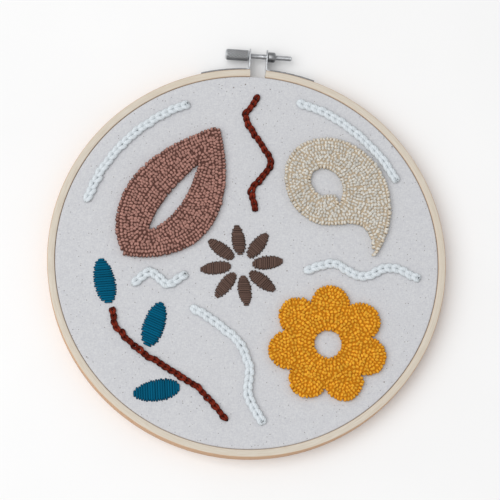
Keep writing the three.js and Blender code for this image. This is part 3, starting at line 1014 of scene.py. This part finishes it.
# %% [markdown]
# ## Yarn by the run
# Every stitch is a short run of yarn: a path, a width and a height. Each could be a curve with a round
# bevel, but there are thousands. One function sweeps a round section along hundreds of runs at once and
# joins them into a single mesh, in which every run is closed. The twist map and the tone of each stitch
# are written at the same time.

# %% Directions along a run
def unit(vectors):
    return vectors / np.maximum(np.linalg.norm(vectors, axis=-1, keepdims=True), 1e-9)


def run_frames(paths, across, closed):
    """Sideways and upward directions at every station of every run."""
    if closed:
        ahead = np.roll(paths, -1, axis=1) - np.roll(paths, 1, axis=1)
    else:
        ahead = np.gradient(paths, axis=1)
    ahead = unit(ahead)
    side = unit(np.cross(ahead, [0, 0, 1.0]))
    if across is not None:
        side = np.broadcast_to(across[:, None], paths.shape)
    return side, unit(np.cross(side, ahead))


# %% Faces and map of a run
def run_faces(runs, stations, sides, closed):
    """Corner numbers of the quads along each run, and of its two flat ends if it isn't closed."""
    runs_start = np.arange(runs) * stations * sides
    first = runs_start[:, None, None]
    spans = stations if closed else stations - 1
    here = (np.arange(spans) * sides)[None, :, None]
    there = ((np.arange(spans) + 1) % stations * sides)[None, :, None]
    now = np.arange(sides)[None, None]
    after = (now + 1) % sides
    corners = [first + here + now, first + there + now, first + there + after, first + here + after]
    quads = np.stack(corners, -1).reshape(-1, 4).tolist()
    if closed:
        return quads
    starts = (runs_start[:, None] + np.arange(sides)).tolist()
    ends = (runs_start[:, None] + (stations - 1) * sides + np.arange(sides)[::-1]).tolist()
    return quads + starts + ends


def yarn_map(paths, sides, closed):
    """Round and along for each corner of the quads, in the order of run_faces."""
    steps = np.linalg.norm(np.diff(paths, axis=1), axis=-1)
    along = np.concatenate([np.zeros((len(paths), 1)), np.cumsum(steps, 1)], 1)
    if closed:
        along = np.concatenate([along, along[:, -1:] + steps[:, -1:]], 1)
    spans = along.shape[1] - 1
    v0 = np.broadcast_to(along[:, :-1, None], (len(paths), spans, sides))
    v1 = np.broadcast_to(along[:, 1:, None], (len(paths), spans, sides))
    u0 = np.broadcast_to(np.arange(sides) / sides, v0.shape)
    u1 = u0 + 1 / sides
    return np.stack([u0, v0, u0, v1, u1, v1, u1, v0], -1).reshape(-1, 2)


# %% Sweep many runs of yarn
def yarn_section(paths, half_wide, half_high, across, sides, closed):
    """Points round every station of every run."""
    side, up = run_frames(paths, across, closed)
    turn = np.arange(sides) / sides * math.tau
    wide = np.broadcast_to(half_wide, paths.shape[:2])[:, :, None, None]
    high = np.broadcast_to(half_high, paths.shape[:2])[:, :, None, None]
    ring = (side[:, :, None] * np.cos(turn)[None, None, :, None] * wide
            + up[:, :, None] * np.sin(turn)[None, None, :, None] * high)
    return (paths[:, :, None] + ring).reshape(-1, 3)


def yarn_piece(name, paths, half_wide, half_high, across=None, sides=6, closed=False, seed=1):
    """One mesh of many runs. across fixes the sideways direction of each, and closed joins its two ends."""
    vertices = yarn_section(paths, half_wide, half_high, across, sides, closed)
    piece = mesh_object(name, vertices, run_faces(*paths.shape[:2], sides, closed))
    mesh = piece.data
    layer = mesh.uv_layers.new(name=YARN_MAP)
    mapped = yarn_map(paths, sides, closed)
    filled = np.zeros((len(mesh.loops), 2), np.float32)
    filled[:len(mapped)] = mapped
    layer.data.foreach_set("uv", filled.ravel())
    tones = np.random.default_rng(seed).random(len(paths))
    tone = mesh.attributes.new(TONE, "FLOAT", "POINT")
    tone.data.foreach_set("value", np.repeat(tones, paths.shape[1] * sides).astype(np.float32))
    mesh.polygons.foreach_set("use_smooth", np.ones(len(mesh.polygons), bool))
    return piece


# %% [markdown]
# ## Looped pile
# The maker punches rows of loops that follow the outline, each row inside the last, and closes the
# middle with single loops where the rows run out. Loops strewn by chance would look like a rug, so the
# same is done here: points are walked along lines at a steady distance from the edges, a point too near
# to an earlier one is left out, and the gaps left over are filled.

# %% Rows of loops
ROW_FIRST, ROW_STEP, DEEPEST_ROW = 0.85, 1.75, 30
LOOP_STEP = 1.7
CLOSEST_LOOPS = 0.94 * LOOP_STEP
ROW_SLACK, ROW_SAMPLE = 0.12, 0.25


def edge_rows(motif, depth):
    """Points in order along both edges of a motif, moved into the pile by depth."""
    rows = []
    for outline, sign in ((motif["outer"], 1), (motif["bare"], -1)):
        points, along = dense(outline, ROW_SAMPLE)
        inward = np.stack([-along[:, 1], along[:, 0]], 1) * sign
        rows.append((points + inward * depth, inward))
    return rows


def punched_rows(motif, edges):
    """Places, directions into the pile and row numbers of the loops, in the order they are punched."""
    places, inwards, rows = [], [], []
    row = 0
    depth = ROW_FIRST
    while depth < DEEPEST_ROW:
        for points, inward in edge_rows(motif, depth):
            kept = (distance_to(points, edges)[0] > depth - ROW_SLACK) & in_motif(points, motif)
            for point, way in zip(points[kept], inward[kept]):
                if places and np.hypot(*(np.array(places) - point).T).min() < CLOSEST_LOOPS:
                    continue
                places.append(point)
                inwards.append(way)
                rows.append(row)
            row += 1
        depth += ROW_STEP
    return places, inwards, rows


# %% Single loops in the gaps
FILL_GAP = 1.38
FILL_GRID = 0.3
FILL_DEPTH = 0.7


def fill_gaps(motif, edges, places, inwards, rows):
    """Adds a loop where there is most room, until no gap is left. Its row number is -1."""
    low, high = motif["outer"].min(0), motif["outer"].max(0)
    x, y = np.meshgrid(np.arange(low[0], high[0], FILL_GRID), np.arange(low[1], high[1], FILL_GRID))
    grid = np.stack([x.ravel(), y.ravel()], 1)
    grid = grid[in_motif(grid, motif)]
    depth, nearest = distance_to(grid, edges)
    grid, nearest = grid[depth > FILL_DEPTH], nearest[depth > FILL_DEPTH]
    room = distance_to(grid, np.array(places))[0]
    while room.max() > FILL_GAP:
        best = room.argmax()
        places.append(grid[best])
        inwards.append(unit(grid[best] - edges[nearest[best]]))
        rows.append(-1)
        room = np.minimum(room, np.hypot(*(grid - grid[best]).T))
    return np.array(places), np.array(inwards), np.array(rows)


# %% [markdown]
# ### One loop of the pile
# A loop is a short arch of yarn that stands on its two feet. Copies of one loop would line up too well,
# so each is turned, leans and reaches up a little its own way, and those at the edge are lower and lean
# outwards, which gives the pile its rounded shoulder.

# %% The arch of a loop
YARN_HALF, YARN_UNEVEN = 0.77, 0.06
LOOP_HEIGHT = 2.4
LOOP_SPREAD = 0.58
LOOP_STATIONS = 9
# Below 1 the first makes the top of a loop broad. Above 1 the second bends it over near its top.
LOOP_BROAD, LOOP_BENT = 0.6, 1.5
LOOP_TURN, LOOP_UNEVEN, LOOP_LEAN = 0.6, 0.16, 0.22
EDGE_DROP, EDGE_DROP_WIDTH = 0.5, 1.2
EDGE_LEAN, EDGE_LEAN_WIDTH = 0.75, 1.6
FOOT_DEPTH = 0.15


def loop_runs(edges, places, inwards, random):
    """The arch of each loop, and the direction across its plane."""
    count = len(places)
    depth = distance_to(places, edges)[0]
    turn = np.arctan2(inwards[:, 1], inwards[:, 0]) + random.normal(0, LOOP_TURN, count)
    plane = np.stack([np.cos(turn), np.sin(turn), np.zeros(count)], 1)
    height = LOOP_HEIGHT + random.normal(0, LOOP_UNEVEN, count)
    height -= EDGE_DROP * np.exp(-depth / EDGE_DROP_WIDTH)
    outwards = -inwards * (EDGE_LEAN * np.exp(-depth / EDGE_LEAN_WIDTH))[:, None]
    lean = random.normal(0, LOOP_LEAN, (count, 2)) + outwards
    t = np.linspace(0, math.pi, LOOP_STATIONS)
    arch = plane[:, None] * (-LOOP_SPREAD * np.cos(t))[None, :, None]
    rise = np.sin(t)[None].clip(0) ** LOOP_BROAD * height[:, None]
    arch[:, :, 2] += FACE - FOOT_DEPTH + rise
    arch[:, :, :2] += places[:, None] + lean[:, None] * (rise / LOOP_HEIGHT)[:, :, None] ** LOOP_BENT
    return arch, unit(np.cross(plane, [0, 0, 1.0]))


# %% [markdown]
# ### Under and between the loops
# At the back the yarn runs flat from each loop to the next in its row, and a single loop has a short
# stitch of its own. Between the loops the eye sees yarn and not cloth, so one low pad in the same yarn
# fills the ground of each motif. It is drawn as two rings of edges, filled with faces and given its
# height by Solidify.

# %% Flat stitches at the back
FARTHEST_NEXT = 2.2 * LOOP_STEP
BACK_WIDE, BACK_HIGH, BACK_SINK = 0.72, 0.34, 0.1
# Places along a stitch as shares of its length, and how much higher or lower it lies at each.
BACK_ALONG = np.array([-0.08, 0.15, 0.5, 0.85, 1.08])
BACK_LIFT = np.array([0.25, -0.25, -0.4, -0.25, 0.25])


def back_runs(places, inwards, rows):
    """Flat stitches under the cloth: from each loop to the next in its row, or a short one if it ends."""
    sideways = np.stack([-inwards[:, 1], inwards[:, 0]], 1) * LOOP_STEP
    start, end = places - sideways / 2, places + sideways / 2
    near = np.hypot(*(places[1:] - places[:-1]).T) < FARTHEST_NEXT
    joined = np.flatnonzero((rows[1:] == rows[:-1]) & near & (rows[1:] >= 0))
    start[joined], end[joined] = places[joined], places[joined + 1]
    flat = start[:, None] + (end - start)[:, None] * BACK_ALONG[None, :, None]
    height = BACK_LIFT + FACE - CLOTH_THICK - BACK_SINK
    return np.concatenate([flat, np.broadcast_to(height[None, :, None], (*flat.shape[:2], 1))], -1)


# %% The ground of a motif
GROUND_HEIGHT, GROUND_INSET, GROUND_SINK = 2.15, 0.8, 0.1
NARROWEST, NARROW_SLACK = 1.4, 0.95


def pile_ground(name, motif):
    """The feet of the loops, packed so close that no cloth shows between them.

    Where the motif is too narrow to be moved inwards, as at a leaf's tip, its points are left out."""
    outer, bare = grown(motif["outer"], -GROUND_INSET), grown(motif["bare"], GROUND_INSET)
    moved_in = grown(motif["outer"], -NARROWEST)
    outer = outer[distance_to(moved_in, dense(motif["outer"])[0])[0] > NARROW_SLACK * NARROWEST]
    points = np.concatenate([outer, bare])
    ring = [(i, (i + 1) % len(outer)) for i in range(len(outer))]
    ring += [(len(outer) + i, len(outer) + (i + 1) % len(bare)) for i in range(len(bare))]
    flat = np.column_stack([points, np.full(len(points), FACE - GROUND_SINK)])
    piece = mesh_object(name, flat, [], ring)
    start_edit(piece)
    bpy.ops.mesh.fill(use_beauty=True)
    bpy.ops.mesh.select_all(action="SELECT")
    bpy.ops.mesh.normals_make_consistent(inside=False)
    bpy.ops.object.mode_set(mode="OBJECT")
    give_thickness(piece, GROUND_HEIGHT, offset=1 if piece.data.polygons[0].normal.z > 0 else -1)
    return piece


# %% Punch the three motifs
for name, motif in PILES.items():
    random = np.random.default_rng(motif["seed"])
    edges = motif_edges(motif)
    places, inwards, rows = fill_gaps(motif, edges, *punched_rows(motif, edges))
    arches, across = loop_runs(edges, places, inwards, random)
    swell = YARN_HALF * random.normal(1, YARN_UNEVEN, (len(places), 1))
    loops = yarn_piece(f"{name}_loops", arches, swell, swell, across, sides=8, seed=motif["seed"])
    finish_piece(loops, f"{name}_loops", motif["yarn"], [f"pile_{name}"])
    ground = pile_ground(f"{name}_ground", motif)
    finish_piece(ground, f"{name}_ground", motif["yarn"])
    backs = back_runs(places, inwards, rows)
    under = yarn_piece(f"{name}_back", backs, BACK_WIDE, BACK_HIGH, seed=motif["seed"] + 1)
    finish_piece(under, f"{name}_back", motif["yarn"])
    print(f"{name}: {len(places)} loops in {rows.max() + 1} rows")

# %% [markdown]
# ## Satin stitch
# Threads lie side by side straight across a leaf, from edge to edge, and each dips into the cloth at
# both ends. A smooth pad with a striped finish would have a clean edge, so each thread is a run of its
# own. They are a little wider than their spacing, so they press together and leave fine ridges, and no
# two end at quite the same place, which gives the outline its small teeth. The same threads cross the
# back.

# %% Lay the threads
THREAD_STATIONS = 9
THREAD_SLANT = 0.1
THREAD_STAGGER, THREAD_RAGGED, THREAD_RAGGED_MOST = 0.15, 0.12, 0.25
THREAD_UNEVEN = 0.05
THREAD_SINK = 0.3
THREAD_SHOULDER = 6
THREAD_WIDE, THREAD_HIGH = 0.55, 0.5
THREAD_TAPER = ([-1, -0.7, 0.7, 1], [0.85, 1, 1, 0.85])
TIP_SHARE = 0.3
BACK_SHARE = 0.6


def satin_runs(length, width, fullness, point, pitch, height, at, turned, random):
    """The threads of one leaf, and the direction that the leaf runs in.

    They lie lower near its tips, and each goes steeply into the cloth at both ends."""
    count = int(length / pitch)
    middle = length * ((np.arange(count) + 0.5) / count - 0.5)
    half = leaf_half(np.arccos(-2 * middle / length) / math.pi, width, fullness, point)
    t = np.linspace(-1, 1, THREAD_STATIONS)
    stagger = np.where(np.arange(count) % 2, THREAD_STAGGER, -THREAD_STAGGER)[:, None]
    ragged = random.normal(0, THREAD_RAGGED, (count, 2)).clip(-THREAD_RAGGED_MOST, THREAD_RAGGED_MOST)
    reach = half[:, None] + stagger + ragged
    across = np.where(t[None] < 0, reach[:, :1], reach[:, 1:]) * t[None]
    slant = THREAD_SLANT * across
    along = middle[:, None] + slant + random.normal(0, THREAD_UNEVEN, (count, 1))
    dome = height * np.sqrt(np.minimum(1, half / (TIP_SHARE * width)))[:, None]
    lift = FACE - THREAD_SINK + (THREAD_SINK + dome) * (1 - np.abs(t)[None] ** THREAD_SHOULDER)
    x, y = rotated(along, across, math.radians(turned))
    runs = np.stack([x + at[0], y + at[1], lift + random.normal(0, THREAD_UNEVEN, (count, 1))], -1)
    direction = np.array([math.cos(math.radians(turned)), math.sin(math.radians(turned)), 0.0])
    return runs, np.repeat([direction], count, axis=0)


def satin_piece(node, sizes, at, turned, finish, seed):
    """A leaf in satin stitch that stands for the solid of this name. Its threads are thin at the ends."""
    name = f"{node}_satin"
    random = np.random.default_rng(seed)
    front, along = satin_runs(*sizes, at, turned, random)
    back = front.copy()
    back[:, :, 2] = FACE - CLOTH_THICK - (front[:, :, 2] - FACE) * BACK_SHARE
    runs = np.concatenate([front, back])
    pitch = sizes[4]
    size = pitch * np.interp(np.linspace(-1, 1, THREAD_STATIONS), *THREAD_TAPER)[None]
    along = np.concatenate([along, along])
    piece = yarn_piece(name, runs, THREAD_WIDE * size, THREAD_HIGH * size, along, sides=8, seed=seed)
    finish_piece(piece, name, finish, [node])


# %% The sprig and the daisy
# Length, width, fullness and point of the outline, then the spacing of the threads and their height.
SPRIG_SIZES = (24, 11, 0.92, 1.1, 1.25, 0.7)
SPRIG_LEAVES = {
    "leaf_lower": ((-43, -73), 192),
    "leaf_upper": ((-46.4, -38.4), 75),
    "leaf_end": ((-73.6, -17.2), 104),
}
for seed, (node, (at, turned)) in enumerate(SPRIG_LEAVES.items(), start=31):
    satin_piece(node, SPRIG_SIZES, at, turned, TEAL, seed)

PETAL_SIZES = (16, 7, 0.92, 1.1, 0.98, 0.7)
DAISY_X, DAISY_Y = -3, -4
DAISY_PETALS, DAISY_TURNED, DAISY_REACH = 8, 10, 13.7
for index in range(DAISY_PETALS):
    turned = DAISY_TURNED + index * 360 / DAISY_PETALS
    x, y = rotated(DAISY_REACH, 0, math.radians(turned))
    at = (DAISY_X + x, DAISY_Y + y)
    satin_piece(f"petal_{index + 1}", PETAL_SIZES, at, turned, BROWN, 41 + index)

# %% [markdown]
# ## Chain stitch
# A chain is a row of drop-shaped loops, each coming up inside the round end of the one before and lying
# over it. A rope with dents would look like one from afar, but not from the side, so every link is a
# closed run of yarn through a few points: narrow and high where it crosses the last link, wide and low
# at its round end. The links follow a smooth line through the points given for each chain.

# %% Smooth lines
LINE_SAMPLES = 40
LOOK_AHEAD = 0.2


def smooth_line(points):
    """Points close together on a smooth line through the given ones, with the distance run at each."""
    p = np.array(points, float)
    p = np.vstack([2 * p[0] - p[1], p, 2 * p[-1] - p[-2]])
    u = (np.arange(LINE_SAMPLES) / LINE_SAMPLES)[:, None]
    parts = []
    for a, b, c, d in zip(p[:-3], p[1:-2], p[2:-1], p[3:]):
        parts.append(0.5 * (2 * b + (c - a) * u + (2 * a - 5 * b + 4 * c - d) * u**2
                            + (3 * b - a - 3 * c + d) * u**3))
    line = np.vstack([*parts, p[-2:-1]])
    run = np.concatenate([[0], np.cumsum(np.hypot(*np.diff(line, axis=0).T))])
    return line, run


def on_line(line, run, distance):
    """Places and directions at so many millimetres along a line, which goes on straight past its ends."""
    def at(where):
        return np.stack([np.interp(where, run, line[:, k]) for k in range(2)], -1)

    ahead = unit(at(distance + LOOK_AHEAD) - at(distance - LOOK_AHEAD))
    past = np.maximum(distance - run[-1], 0) + np.minimum(distance, 0)
    return at(distance) + ahead * past[..., None], ahead


# %% The shape of a link
LINK_STATIONS, LINK_TIP = 18, 0.07
# Along the link in pitches, half-width as a share of the link's, height as a share of the chain's rise.
LINK_SHAPE = [(-0.02, 0.0, -0.1), (0.14, 0.3, 0.6), (0.32, 0.6, 1.0), (0.62, 0.92, 0.84),
              (0.9, 1.0, 0.55), (1.12, 0.82, 0.38), (1.27, 0.4, 0.34)]
# One share sideways or up is shorter than a pitch, so it counts for less in a step.
STEP_WEIGHTS = (1, 0.6, 0.6)


def link_outline():
    """The closed drop that a link follows, as along, sideways and height, at about equal steps."""
    end_along, _, end_height = LINK_SHAPE[-1]
    far = [(end_along + LINK_TIP, 0.0, end_height)]
    left = [(along, -wide, height) for along, wide, height in LINK_SHAPE[:0:-1]]
    corners = np.array(LINK_SHAPE + far + left)
    closed = np.vstack([corners, corners[:1]])
    steps = np.linalg.norm(np.diff(closed, axis=0) * STEP_WEIGHTS, axis=1)
    run = np.concatenate([[0], np.cumsum(steps)])
    at = np.arange(LINK_STATIONS) / LINK_STATIONS * run[-1]
    return np.stack([np.interp(at, run, closed[:, k]) for k in range(3)], -1)


# %% Links along a line
LINK_REACH, REACH_UNEVEN = 0.94, 0.03
WIDTH_UNEVEN, HEIGHT_UNEVEN = 0.06, 0.05
LINK_ASIDE, LINK_ASKEW = 0.06, 0.05


def link_runs(line, run, links, kind, random):
    """The run of each link. loose is how uneven the hand was: it scales every chance difference."""
    pitch = run[-1] / links
    width, thick, rise, loose = (kind[key] for key in ("width", "thick", "rise", "loose"))
    drop = link_outline()
    start = np.arange(links)[:, None] * pitch

    def chance(amount):
        return random.normal(0, amount * loose, (links, 1)).clip(-2 * amount * loose, 2 * amount * loose)

    along = start + drop[None, :, 0] * pitch * (LINK_REACH + chance(REACH_UNEVEN))
    place, ahead = on_line(line, run, along)
    side = np.stack([-ahead[..., 1], ahead[..., 0]], -1)
    spread = (width - thick) / 2 * (1 + chance(WIDTH_UNEVEN)) * drop[None, :, 1]
    askew = chance(LINK_ASKEW) * (along - start)
    place = place + side * (spread + chance(LINK_ASIDE) + askew)[..., None]
    height = FACE + rise * drop[None, :, 2] * (1 + chance(HEIGHT_UNEVEN))
    return np.concatenate([place, height[..., None]], -1)


# %% Stitches behind a chain
# Places along a stitch in pitches, and those along the tie and all heights in thicknesses of the yarn.
UNDER_ALONG = np.array([0.02, 0.2, 0.5, 0.8, 0.98])
UNDER_LIFT = np.array([0.2, -0.25, -0.35, -0.25, 0.2])
TIE_ALONG = np.array([-0.6, -0.4, 0.0, 0.4, 0.6])
TIE_LIFT = np.array([-0.2, 0.45, 0.65, 0.45, -0.2])
TIE_PAST = 0.3


def chain_back(line, run, links, thick):
    """One plain stitch for each link under the cloth, and the short one that ties down the last link."""
    pitch = run[-1] / links
    distance = (np.arange(links)[:, None] + UNDER_ALONG[None]) * pitch
    under = UNDER_LIFT * thick + FACE - CLOTH_THICK
    under = np.repeat(under[None], links, axis=0)
    tie = run[-1] + TIE_PAST * pitch + TIE_ALONG * thick
    over = FACE + TIE_LIFT * thick
    place, _ = on_line(line, run, np.vstack([distance, tie]))
    return np.concatenate([place, np.vstack([under, over])[..., None]], -1)


# %% [markdown]
# ### The seven chains
# Two chains are in rust yarn and five in a thick white one. Each line is a few points, which is enough
# for a hand-worked curve; the two arcs follow the rim, so their points come from a radius and two
# angles.

# %% Lines and kinds of chain
def arc(radius, first, last, steps):
    """Points on a circle round the middle of the hoop, from one angle in degrees to another."""
    angles = np.radians(np.linspace(first, last, steps + 1))
    return [(radius * math.cos(a), radius * math.sin(a)) for a in angles]


RUST_CHAIN = {
    "pitch": 3.3, "width": 3.6, "thick": 1.7, "rise": 1.45, "loose": 2.4,
    "finish": RUST, "slot": "yarn_rust",
}
WHITE_CHAIN = {
    "pitch": 3.8, "width": 5.1, "thick": 2.5, "rise": 1.4, "loose": 1.2,
    "finish": WHITE, "slot": "yarn_white",
}
CHAINS = {
    "chain_stem": (RUST_CHAIN, [(-6, -86), (-20, -72), (-36, -62), (-54, -52), (-65, -42), (-69, -32)]),
    "chain_tendril": (RUST_CHAIN, [(1, 90), (-5, 77), (3, 64), (9, 52), (1, 38), (2, 26)]),
    "chain_wave": (WHITE_CHAIN, [(30, -5), (45, 0), (60, -6), (75, 0), (90, -5)]),
    "chain_scroll": (WHITE_CHAIN, [(-28, -28), (-14, -36), (-2, -46), (4, -58), (4, -72), (12, -86)]),
    "chain_ripple": (WHITE_CHAIN, [(-59, -18), (-50, -11), (-41, -17), (-32, -11)]),
    "chain_left_arc": (WHITE_CHAIN, arc(90, 164, 114, 5)),
    "chain_right_arc": (WHITE_CHAIN, arc(90.5, 76, 32, 5)),
}

# %% Work the chains
LINK_SQUEEZE, LINK_FLATNESS = 0.07, 0.66
UNDER_WIDE, UNDER_HIGH = 0.45, 0.3


def chain_pieces(node, kind, points, seed):
    """The links, which stand for the solid of this name, and the stitches under them."""
    line, run = smooth_line(points)
    links = round(run[-1] / kind["pitch"])
    thick = kind["thick"]
    round_link = np.arange(LINK_STATIONS) / LINK_STATIONS * math.tau
    swell = (thick * (0.5 - LINK_SQUEEZE * np.cos(round_link)))[None]
    runs = link_runs(line, run, links, kind, np.random.default_rng(seed))
    piece = yarn_piece(f"{node}_links", runs, swell, LINK_FLATNESS * swell, sides=8, closed=True, seed=seed)
    finish_piece(piece, f"{node}_links", kind["finish"], [node])
    backs = chain_back(line, run, links, thick)
    under = yarn_piece(f"{node}_back", backs, UNDER_WIDE * thick, UNDER_HIGH * thick, seed=seed)
    finish_piece(under, f"{node}_back", kind["finish"])
    print(f"{node}: {links} links of {run[-1] / links:.1f} mm")


for seed, (node, (kind, points)) in enumerate(CHAINS.items(), start=61):
    chain_pieces(node, kind, points, seed)

# %% [markdown]
# ## Floor and light
# The hoop lies on a plain pale floor under soft light. Several lamps could light it evenly, but a plain
# sky does that by itself, and one large lamp gives the loops and links their small soft shadows.

# %% The floor
FLOOR_SIDE = 6


def plain_floor():
    bpy.ops.mesh.primitive_plane_add(size=FLOOR_SIDE)
    floor = bpy.context.object
    floor.name = "floor"
    material, tree, shader = new_finish("pale_floor", 0.9, Specular_IOR_Level=0.1)
    faint = remap(tree, speckle(tree, object_place(tree), 6.0), 0.3, 0.7)
    colour = blend_colours(tree, faint, paint(250, 250, 250), paint(246, 246, 246))
    tree.links.new(colour, shader.inputs["Base Color"])
    floor.data.materials.append(material)


plain_floor()

# %% The light
SKY_STRENGTH = 0.57
LAMP_AT = Vector((-1.2, -0.2, 2.0))
LAMP_SIZE, LAMP_POWER = 2.6, 40.0


def light_sky():
    world = bpy.data.worlds.new("sky")
    world.use_nodes = True
    sky = world.node_tree.nodes["Background"]
    sky.inputs["Color"].default_value = (1, 1, 1, 1)
    sky.inputs["Strength"].default_value = SKY_STRENGTH
    bpy.context.scene.world = world


def light_lamp():
    """One large square lamp, turned towards the middle of the floor."""
    data = bpy.data.lights.new("soft_box", "AREA")
    data.size = LAMP_SIZE
    data.energy = LAMP_POWER
    lamp = new_object("soft_box", data)
    lamp.location = LAMP_AT
    lamp.rotation_euler = (-LAMP_AT).to_track_quat("-Z", "Y").to_euler()


light_sky()
light_lamp()
bpy.context.scene.view_settings.view_transform = "Standard"
print(f"sky {SKY_STRENGTH}, lamp {LAMP_POWER:.0f} W at {LAMP_AT.length:.1f} m")
